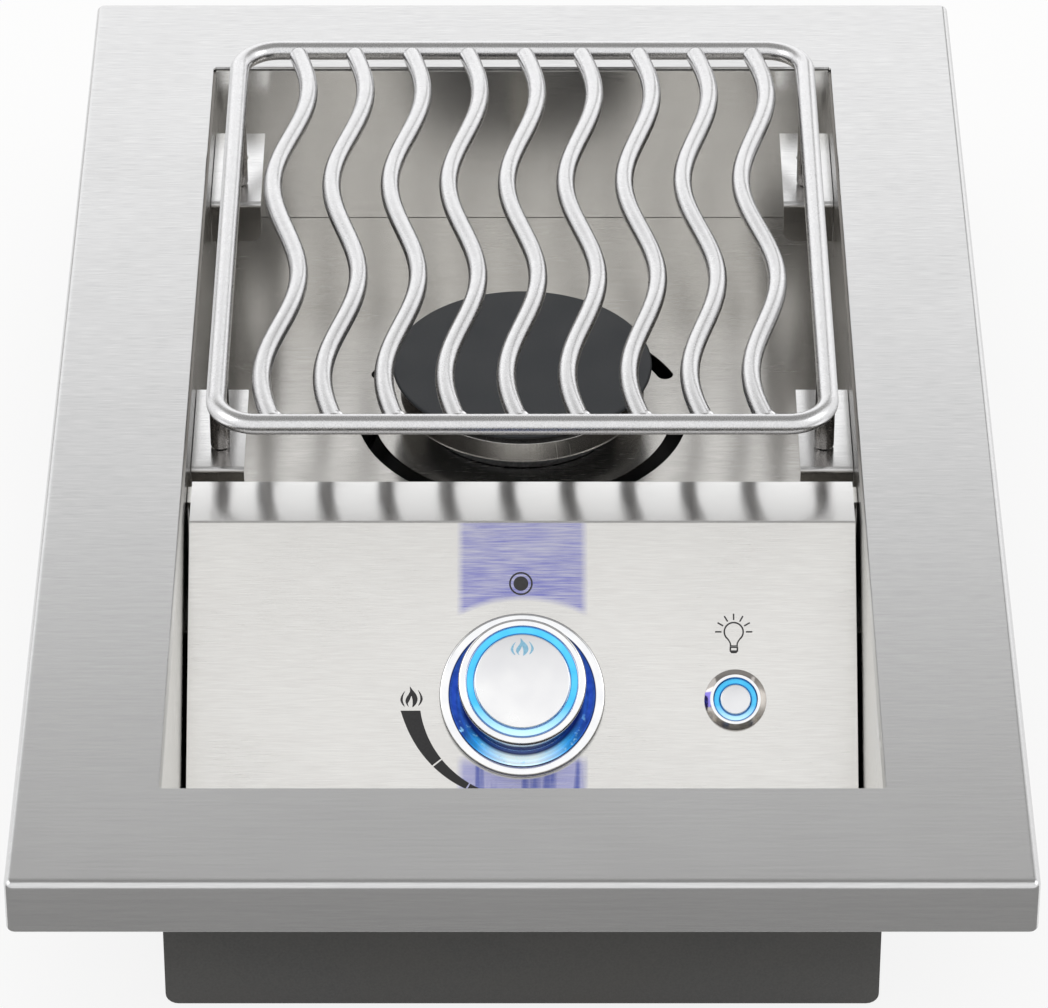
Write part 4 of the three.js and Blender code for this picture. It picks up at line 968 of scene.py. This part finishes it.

# Bezel: a chromed ring round a shallow dish on the panel. A lens ring glows at the dish's foot, and
# its blue light up the dish's chrome is painted on and made to glow.
BEZEL_RADIUS = 30.65
BEZEL_HEIGHT = 3.5
DISH_OUTER = 27.05
DISH_INNER = 21.0


def chromed(name, matrix):
    """Bright chrome plate with faint wiping marks, in a round piece's own frame."""
    tones = (0xffffff, 0xf6f7fa)
    material, shader, place = mottled(name, 1, 7, tones, (0.05, 0.13), 0.01)
    return material, shader, round_place(place, matrix)


# The bezel's outer edge has a painted thin dark shadow line, and its inner one a painted reflection of
# the blue dish
bezel_chrome, shader, own = chromed("bright_chrome_bezel", knob_place)
recoloured(shader, between(own[0], 0, 0.85, (30.3, 30.5)), 0x303236)
recoloured(shader, between(own[0], 0.9, 0, (27.25, 27.45)), 0x223e7a)


# A clear acrylic lens with blue light in it: navy at its edges and pale at its lower side
def add_lens(name, finish, radii, heights, edge, pale, body, node, matrix, sides=96):
    """A lit lens ring between two radii and heights, pale between two places down the slope."""
    inner, outer = radii
    material, shader, place = new_finish(finish, 0, 0.3, IOR=1.49, Emission_Strength=0.62)
    cloud = grain(place, 9)
    own = round_place(place, matrix)
    glow = blended(between(cloud, 0, 1), 0x33abdd, 0x50bce6)
    glow = blended(between(own[2], 0, 0.8, pale), glow, 0xd4f2fc)
    glow = blended(between(own[0], 0.8, 0, (inner + 0.15, inner + 0.4)), glow, 0x1c4f9a)
    glow = blended(between(own[0], 0, 0.8, (outer - 0.4, outer - 0.15)), glow, 0x1c4f9a)
    finished(shader, glow, between(cloud, 0.24, 0.38), (cloud, 0.01))
    shader.id_data.links.new(glow, shader.inputs["Emission Color"])
    corners = [(*corner, 0 if i < 2 else edge) for i, corner in enumerate(oblong(*radii, *heights))]
    add_turned(name, corners, material, body, "blue_light", node, matrix, sides)


# Chrome with the lens ring's light painted on and made to glow: painted navy shade by the knob, deep
# blue at the sides, pale below, with painted glints
lit_chrome, shader, place = new_finish("blue_lit_chrome_dish", 1, 0.12, Emission_Strength=0.8)
radius, across, upwards = round_place(place, knob_place)[:3]
ripple = grain(place, 3, 3)
sparkle = grain(place, 2.2)
glow = blended(between(ripple, 0, 1), 0x23418c, 0x3458a8)
aside = size_of(across)
for sides, below, blue in (
    ((14, 22.5), (-17, -9), 0x3cb2f0),
    ((5, 17), (-21, -15), 0xeafcff),
):
    glow = blended(product(between(aside, 1, 0, sides), between(upwards, 1, 0, below)), glow, blue)
# Painted glints of the blue light on the lower dish
spots = product(between(sparkle, 0, 0.9, (0.62, 0.7)), between(upwards, 1, 0, (-14, -6)))
glow = blended(spots, glow, 0x9fdcf8)
glow = blended(between(radius, 0.95, 0, (22.2, 23.4)), glow, 0x101d58)
finished(shader, glow, between(ripple, 0.1, 0.18), (ripple, 0.01))
shader.id_data.links.new(glow, shader.inputs["Emission Color"])

bezel = add_turned("knob_bezel_ring", [
    (DISH_INNER, 0.3, 0),
    (BEZEL_RADIUS, 0.3, 0.1),
    (BEZEL_RADIUS, BEZEL_HEIGHT, 0.9),
    (DISH_OUTER, BEZEL_HEIGHT, 0.6),
    (DISH_OUTER - 0.8, BEZEL_HEIGHT - 0.8, 0.4),
    (DISH_INNER + 0.8, 1.3, 0.3),
    (DISH_INNER, 1.3, 0),
], bezel_chrome, "casing", "bright_chrome", "knob_bezel", knob_place, 160)
bezel.data.materials.append(lit_chrome)
from_bezel = knob_place.inverted()
for face in bezel.data.polygons:
    centre = from_bezel @ (face.center / MM)
    if centre.xy.length < DISH_OUTER - 0.1 and centre.z > 0.5:
        face.material_index = 1
add_lens("bezel_lens_ring", "lit_blue_bezel_lens", (17.2, 20.7), (0.3, 2.4), 0.4, (-8, -20),
         "casing", "bezel_light_ring", knob_place)

# Knob: a chromed shell pressed on the valve's stem, with a lit lens ring and a satin face set in
# its top. It pushes in and turns with the stem.
KNOB_RADIUS = 23.5
KNOB_WAIST = 21.6
KNOB_BASE = 6
KNOB_TOP = 29.6
KNOB_RIM = KNOB_TOP - 1
KNOB_SEAT = 26.2
KNOB_SOCKET = 22.3
KNOB_HOLLOW = 20

# The shell's outer wall has a painted reflection of the dark blue dish, and its rim ends in a painted
# thin dark line of shade
knob_chrome, shader, own = chromed("bright_chrome_knob", knob_place)
recoloured(shader, between(own[0], 0, 0.9, (23.1, 23.3)), 0x2c3040)
below_rim = product(between(own[3], 1, 0, (25.5, 26.5)), between(own[0], 0, 1, (21, 21.4)))
recoloured(shader, below_rim, 0x4a5c98)
add_turned("knob_shell", [
    (0, KNOB_SOCKET, 0),
    (3.3, KNOB_SOCKET, 0),
    (3.3, KNOB_BASE, 0.3),
    (6.5, KNOB_BASE, 0.3),
    (6.5, KNOB_HOLLOW, 0.5),
    (19.4, KNOB_HOLLOW, 0.5),
    (19.4, KNOB_BASE, 0.3),
    (KNOB_WAIST, KNOB_BASE, 0.4),
    (KNOB_RADIUS, KNOB_RIM - 2, 0.5),
    (KNOB_RADIUS, KNOB_RIM, 1),
    (20.8, KNOB_RIM, 0.3),
    (20.8, KNOB_SEAT, 0),
    (0, KNOB_SEAT, 0),
], knob_chrome, "knob", "bright_chrome", "knob_body", knob_place, 160, 8)
KNOB_GLUE = KNOB_SEAT + 0.3
add_lens("knob_lens_ring", "lit_blue_knob_lens", (17.75, 20.5), (KNOB_GLUE, KNOB_RIM), 0.3,
         (-9, -20), "knob", "knob_light_ring", knob_place, 160)


def satin(name, matrix, low, high):
    """Satin chrome with painted shade that greys it, between two places along its own Y in mm."""
    tones = (0xffffff, 0xf8f8fa)
    material, shader, place = mottled(name, 1, 14, tones, (0.26, 0.36), 0.01, 2)
    upwards = round_place(place, matrix)[2]
    # Painted shade: greyer from the low place to the high one
    recoloured(shader, between(upwards, 0, 0.5, (low, high)), 0xe2e3e8)
    return material


FACE_RADIUS = 17.45
add_turned("knob_face_disc", [
    (0, KNOB_GLUE, 0),
    (FACE_RADIUS, KNOB_GLUE, 0),
    (FACE_RADIUS, KNOB_TOP, 0.4),
    (0, KNOB_TOP, 0),
], satin("satin_chrome_face", knob_place, -2, 16), "knob", "knob_face_steel", "knob_face",
    knob_place, 160)
pale = (0x9cd3ee, 0x86bfdf)
pale_ink = mottled("pale_blue_printed_ink", 0, 0.8, pale, (0.34, 0.46), 0.02, IOR=1.5)[0]
knob_mark = flame((0, 12.6), 8.4, 6.6)
MARK_ON_FACE = KNOB_TOP - MARK_HEIGHT + 0.03
add_marks("knob_flame_mark", knob_mark, pale_ink, knob_place, "knob", "blue_light", MARK_ON_FACE)

# Light switch: a chromed push-button housing clamped through the panel, with a lit ring round a
# flat metal button that moves on its own. Its flange slopes outwards, painted darker than its mouth as
# a painted reflection.
switch_chrome, shader, own = chromed("bright_chrome_switch", switch_place)
# Painted reflection: the flange's cone is darker than its mouth
recoloured(shader, between(own[0], 0, 0.9, (9.2, 9.4)), 0xbab4af)
# Its cone has a painted reflection of the violet glow of the panel on its left, and painted dark shade
# below that
cone = between(own[0], 0, 1, (9.3, 9.5))
near_middle = between(size_of(own[2]), 0.85, 0, (2.6, 3.2))
violet = product(cone, between(own[1], 1, 0, (-8.8, -8.2)), near_middle)
recoloured(shader, violet, 0x5348a8)
on_left = between(own[1], 1, 0, (-4.4, -3.2))
low_down = between(own[2], 0.4, 0, (-8.6, -7.8))
recoloured(shader, product(cone, on_left, low_down), 0x4c4854)
add_turned("light_switch_flange", [
    (8.5, -16.7, 0),
    (9.5, -16.7, 0),
    (9.5, 0.3, 0),
    (11.5, 0.3, 0),
    (11.5, 1.2, 0.3),
    (9.35, 2.5, 0.15),
    (8.25, 2.5, 0.15),
    (8.25, 1.4, 0),
    (8.5, 1.4, 0),
], switch_chrome, "casing", "bright_chrome", "light_switch_housing", switch_place)
add_lens("light_switch_lens", "lit_blue_switch_lens", (5.9, 8), (-4, 1.6), 0.2, (-2, -8),
         "casing", "light_switch_ring", switch_place)
add_turned("light_button_top", [
    (0, -11.5, 0),
    (2.5, -11.5, 0.3),
    (2.5, -2.5, 0),
    (5.6, -2.5, 0.2),
    (5.6, 2.5, 0.4),
    (0, 2.5, 0),
], satin("satin_chrome_button", switch_place, -40, 30), "light_button", "bright_chrome",
    "light_button", switch_place)

# Grate brackets: four plates of brushed stainless with two holes, a bent lip in front and a
# flange that is spot-welded to the side wall.
BRACKET_TOP = 76.6
BRACKET_SHEET = 1.2
BRACKET_INNER = 105.6
BRACKET_OUTER = 125.6
BRACKET_LENGTH = 53.4
BRACKET_TO_LEG = 15.4
BRACKET_LIP = 18
BRACKET_CORNER = 5
BRACKET_FLANGE = 12
HOLE_RADIUS = 3.2
HOLE_PITCH = 19.5
GRATE_BAR_X = 115.0
GRATE_CORNERS = [
    (f"{row}_{side_name}", side, leg_y)
    for row, leg_y in (("front", -2.5), ("rear", 183.5))
    for side_name, side in (("left", -1), ("right", 1))
]


def bracket_mesh(name, side, leg_y):
    """One bracket: a plate with a bent lip, a rounded lip corner, a wall flange and two holes."""
    front = leg_y - BRACKET_TO_LEG
    rear = front + BRACKET_LENGTH
    low_x, high_x = sorted((side * BRACKET_INNER, side * BRACKET_OUTER))
    bent = folded([
        (rear, BRACKET_TOP),
        (front, BRACKET_TOP),
        (front, BRACKET_TOP - BRACKET_LIP),
    ], BRACKET_SHEET, [0, 1, 0])
    plate = extruded(name, bent, low_x, high_x, "X")
    wall_x = sorted((side * (BRACKET_OUTER - BRACKET_SHEET), side * BRACKET_OUTER))
    flange_foot = BRACKET_TOP - BRACKET_FLANGE
    flange_outline = oblong(*wall_x, flange_foot, BRACKET_TOP - BRACKET_SHEET / 2)
    flange = extruded("flange", flange_outline, front + 6, rear, "Y")
    whole = combined(name, plate, [flange], "UNION")
    lip_foot = BRACKET_TOP - BRACKET_LIP
    middle = (side * (BRACKET_INNER + BRACKET_CORNER), lip_foot + BRACKET_CORNER)
    start = 180 if side > 0 else 0
    corner = arc(BRACKET_CORNER, math.radians(start), math.radians(start + side * 90), 8, middle)
    past_edge = middle[0] - side * (BRACKET_CORNER + 2)
    corner += [(middle[0], lip_foot - 2), (past_edge, lip_foot - 2), (past_edge, middle[1])]
    cutters = [extruded("corner", corner, front - 2, front + 3, "Y")]
    for y in (leg_y, leg_y + HOLE_PITCH):
        hole_place = Matrix.Translation((side * GRATE_BAR_X, y, 0))
        cutters.append(post(HOLE_RADIUS, BRACKET_TOP - 3, BRACKET_TOP + 2, 40, hole_place))
    return combined(name, whole, cutters)


bracket_steel, shader, place = brushed("brushed_stainless_bracket", 0xffffff, 0xf4f4f5, "X", 0.22)
# The lips face the viewer and are painted dark, a painted reflection of the dark room
frontwards = parts(facing(shader.id_data))[1]
recoloured(shader, between(frontwards, 0.9, 0, (-0.95, -0.5)), 0x86827c)
for corner, side, leg_y in GRATE_CORNERS:
    name = f"bent_bracket_{corner}"
    mesh = bracket_mesh(name, side, leg_y)
    smooth(mesh)
    put(name, mesh, bracket_steel, "casing", "liner_steel", f"grate_bracket_{corner}")

# Grate: a round rod bent to a frame, with nine waved rods butt-welded between its front and rear
# bars and four legs below. All is electropolished stainless rod.
FRONT_Y = -36.8
REAR_Y = 231.2
GRATE_Z = 110.6
FRAME_ROD = 3.9
WAVE_ROD = 3.7
# Its rods are painted darker below, a painted reflection of the well, and its legs are painted darker
# under the rods as painted shade
rod_steel, shader, place = new_finish("satin_stainless_rod", 1, 0.26)
drawn = grain(place, 0.5, 3)
haze = grain(place, 5)
tone = blended(between(haze, 0, 0.5), 0xeeeeef, 0xe2e2e4)
tone = blended(between(drawn, 0, 0.6), tone, 0xc9c8c9)
upwards = parts(facing(shader.id_data))[2]
tone = blended(between(upwards, 0.45, 0, (-0.2, 0.3)), tone, 0xa19e9c)
height = parts(place)[2]
tone = blended(between(height, 0.85, 0, (0.104, 0.1066)), tone, 0x6f6b67)
finished(shader, tone, between(drawn, 0.22, 0.32), (drawn, 0.012))


def geometry_tree(name, sizes):
    """A Geometry Nodes tree with a number input for each named size, and one for its material."""
    tree = bpy.data.node_groups.new(name, "GeometryNodeTree")
    tree.interface.new_socket("Geometry", in_out="OUTPUT", socket_type="NodeSocketGeometry")
    for size, value in sizes.items():
        kind = "NodeSocketInt" if isinstance(value, int) else "NodeSocketFloat"
        tree.interface.new_socket(size, in_out="INPUT", socket_type=kind)
    tree.interface.new_socket("Material", in_out="INPUT", socket_type="NodeSocketMaterial")
    return tree, add(tree, "NodeGroupInput").outputs


def grown(name, tree, shape, sizes, material):
    """Ends a tree, sets its inputs, whose lengths are in mm, and gives the plain mesh it makes."""
    whole = add(tree, "GeometryNodeRealizeInstances", {0: shape})
    material_link = tree.nodes["Group Input"].outputs["Material"]
    done = add(tree, "GeometryNodeSetMaterial", {"Geometry": whole, "Material": material_link})
    add(tree, "NodeGroupOutput", {0: done})
    piece = new_piece(name, bpy.data.meshes.new(name))
    modifier = piece.modifiers.new(name, "NODES")
    modifier.node_group = tree
    for item in tree.interface.items_tree:
        if item.in_out == "INPUT":
            value = sizes.get(item.name, material)
            modifier[item.identifier] = value * MM if isinstance(value, float) else value
    mesh = plain_mesh(piece, name)
    bpy.data.objects.remove(piece)
    return mesh


frame_sizes = {
    "Width": 2 * GRATE_BAR_X,
    "Depth": REAR_Y - FRONT_Y,
    "Corner": 16.0,
    "Rod radius": FRAME_ROD,
    "Middle": (REAR_Y + FRONT_Y) / 2,
    "Height": GRATE_Z,
}


def rod_along(tree, curve, radius):
    """A round rod along curves, with flat ends."""
    ring = add(tree, "GeometryNodeCurvePrimitiveCircle", {"Resolution": 32, "Radius": radius})
    sockets = {"Curve": curve, "Profile Curve": ring, "Fill Caps": True}
    return add(tree, "GeometryNodeCurveToMesh", sockets)


tree, sizes = geometry_tree("bent_rod_frame", frame_sizes)
rectangle = add(tree, "GeometryNodeCurvePrimitiveQuadrilateral", {
    "Width": sizes["Width"],
    "Height": sizes["Depth"],
})
bent = add(tree, "GeometryNodeFilletCurve", {
    "Curve": rectangle,
    "Radius": sizes["Corner"],
    "Count": 16,
    "Limit Radius": True,
}, mode="POLY")
rod = rod_along(tree, bent, sizes["Rod radius"])
middle = add(tree, "ShaderNodeCombineXYZ", {1: sizes["Middle"], 2: sizes["Height"]})
placed = add(tree, "GeometryNodeTransform", {"Geometry": rod, "Translation": middle})
frame_mesh = grown("grate_rod_frame", tree, placed, frame_sizes, rod_steel)
smooth(frame_mesh, 60)
put("grate_rod_frame", frame_mesh, rod_steel, "grate", "grate_rod", "grate_frame")

ROD_COUNT = 9
ROD_PITCH = 23.125
rod_sizes = {
    "Rods": ROD_COUNT,
    "First": -ROD_PITCH * (ROD_COUNT - 1) / 2,
    "Pitch": ROD_PITCH,
    "Front": FRONT_Y + 2,
    "Rear": REAR_Y - 5.2,
    "Wave height": 6.05,
    "Wave length": 134.8,
    "Crest": 197.0,
    "Rod radius": WAVE_ROD,
    "Height": GRATE_Z + FRAME_ROD - WAVE_ROD,
}


def waved_lines(tree, sizes):
    """One upright line for each rod, swung sideways by the wave."""
    start = add(tree, "ShaderNodeCombineXYZ", {1: sizes["Front"], 2: sizes["Height"]})
    end = add(tree, "ShaderNodeCombineXYZ", {1: sizes["Rear"], 2: sizes["Height"]})
    line = add(tree, "GeometryNodeCurvePrimitiveLine", {"Start": start, "End": end})
    fine = add(tree, "GeometryNodeResampleCurve", {"Curve": line, "Count": 97})
    number = parts(add(tree, "GeometryNodeInputPosition").outputs[0])[1]
    for operation, other in (
        ("SUBTRACT", sizes["Crest"]),
        ("DIVIDE", sizes["Wave length"]),
        ("MULTIPLY", 2 * math.pi),
        ("COSINE", 0),
        ("MULTIPLY", sizes["Wave height"]),
    ):
        number = add(tree, "ShaderNodeMath", {0: number, 1: other}, operation=operation)
    swing = add(tree, "ShaderNodeCombineXYZ", {0: number})
    waved = add(tree, "GeometryNodeSetPosition", {"Geometry": fine, "Offset": swing})
    first = add(tree, "ShaderNodeCombineXYZ", {0: sizes["First"]})
    pitch = add(tree, "ShaderNodeCombineXYZ", {0: sizes["Pitch"]})
    row = add(tree, "GeometryNodeMeshLine", {
        "Count": sizes["Rods"],
        "Start Location": first,
        "Offset": pitch,
    })
    return waved, row


def at_ends(tree, curve, part, first, last):
    """A part on the first point of curves, their last, or both."""
    ends = add(tree, "GeometryNodeCurveEndpointSelection", {"Start Size": first, "End Size": last})
    sockets = {"Points": curve, "Selection": ends, "Instance": part}
    return add(tree, "GeometryNodeInstanceOnPoints", sockets)


tree, sizes = geometry_tree("waved_grate_rods", rod_sizes)
waved, row = waved_lines(tree, sizes)
rod = rod_along(tree, waved, sizes["Rod radius"])
ball = {"Segments": 32, "Rings": 16, "Radius": sizes["Rod radius"]}
round_end = add(tree, "GeometryNodeMeshUVSphere", ball)
bead = add(tree, "GeometryNodeMeshIcoSphere", {"Radius": sizes["Rod radius"], "Subdivisions": 4})
flat_bead = add(tree, "GeometryNodeTransform", {
    "Geometry": bead,
    "Translation": (0, 1.9 * MM, -0.1 * MM),
    "Scale": (1.13, 0.42, 1.0),
})
welded = add(tree, "GeometryNodeJoinGeometry")
for part in (rod, at_ends(tree, waved, round_end, 1, 1), at_ends(tree, waved, flat_bead, 1, 0)):
    tree.links.new(part.outputs[0], welded.inputs[0])
rods = add(tree, "GeometryNodeInstanceOnPoints", {"Points": row, "Instance": welded})
rods_mesh = grown("grate_wave_rods", tree, rods, rod_sizes, rod_steel)
smooth(rods_mesh, 50)
rod_nodes = [f"grate_rod_{i + 1}" for i in range(ROD_COUNT)]
put("grate_wave_rods", rods_mesh, rod_steel, "grate", "grate_rod", *rod_nodes)

LEG_FOOT = 76.9
LEG_TOP = GRATE_Z - 2
leg_corners = [
    (0, LEG_FOOT - 6, 0),
    (2.6, LEG_FOOT - 6, 0.4),
    (2.6, LEG_FOOT, 0),
    (3, LEG_FOOT, 0),
    (3.8, LEG_FOOT + 0.8, 0.2),
    (3.8, LEG_TOP, 0),
    (0, LEG_TOP, 0),
]
for corner, side, leg_y in GRATE_CORNERS:
    leg_place = Matrix.Translation((side * GRATE_BAR_X, leg_y, 0))
    add_turned(f"grate_foot_{corner}", leg_corners, rod_steel, "grate", "grate_rod",
               f"grate_leg_{corner}", leg_place, 40)

# Trim frame: one sheet of stainless with a brushed face, folded down at its rim and turned in
# below, that lies on the counter and closes the gap round the well.
TRIM_HALF_X = 177.5
TRIM_HALF_Y = 292
TRIM_TOP = 96.6
TRIM_FOOT = 74.6
TRIM_SHEET = 1.2
TRIM_FOLD = 2.6
TRIM_TURN = 1.6
TRIM_UNDER = TRIM_TOP - TRIM_SHEET
TURN_REACH = 12
OPENING = (-126.9, 126.9, -239.0, 241.0)


def rectangle_ring(x0, x1, y0, y1, radius, height):
    """Points round a level rectangle with round corners, the same number whatever its size."""
    points = []
    for x, y, start in ((x1, y0, -90), (x1, y1, 0), (x0, y1, 90), (x0, y0, 180)):
        middle = (x - math.copysign(radius, x), y - math.copysign(radius, y))
        points += arc(radius, math.radians(start), math.radians(start + 90), 6, middle)
    return [(x, y, height) for x, y in points]


def outer(inset, height):
    """A ring inside the trim's outer edge by an inset."""
    x, y = TRIM_HALF_X - inset, TRIM_HALF_Y - inset
    return rectangle_ring(-x, x, -y, y, max(3.2 - inset, 0.3), height)


def inner(inset, height):
    """A ring outside the trim's opening by an inset."""
    x0, x1, y0, y1 = OPENING
    return rectangle_ring(x0 - inset, x1 + inset, y0 - inset, y1 + inset, 1.5 + inset, height)


# From the opening's upper edge out over the fold, down the lip, round its turn and back under
trim_rings = [
    inner(0, TRIM_UNDER + 0.15),
    inner(0, TRIM_TOP - 0.2),
    inner(0.2, TRIM_TOP),
    inner(0.8, TRIM_TOP),
    outer(3.4, TRIM_TOP),
]
for bend, middle, start in (
    (TRIM_FOLD, TRIM_TOP - TRIM_FOLD, 90),
    (TRIM_TURN, TRIM_FOOT + TRIM_TURN, 0),
):
    for x, y in arc(bend, math.radians(start), math.radians(start - 90), 8):
        trim_rings.append(outer(bend - x, middle + y))
trim_rings += [
    outer(4, TRIM_FOOT),
    outer(TURN_REACH, TRIM_FOOT),
    outer(TURN_REACH, TRIM_FOOT + TRIM_SHEET),
    outer(TRIM_SHEET, TRIM_FOOT + TRIM_SHEET),
    outer(TRIM_SHEET, TRIM_UNDER),
    inner(0.15, TRIM_UNDER),
]
trim_mesh = skinned("trim_frame_sheet", trim_rings)
smooth(trim_mesh, 25)
trim_steel = brushed("brushed_stainless_trim", 0xe1e1e1, 0xd3d3d4, "X", 0.21)[0]
put("trim_frame_sheet", trim_mesh, trim_steel, "casing", "trim_steel", "trim_frame")
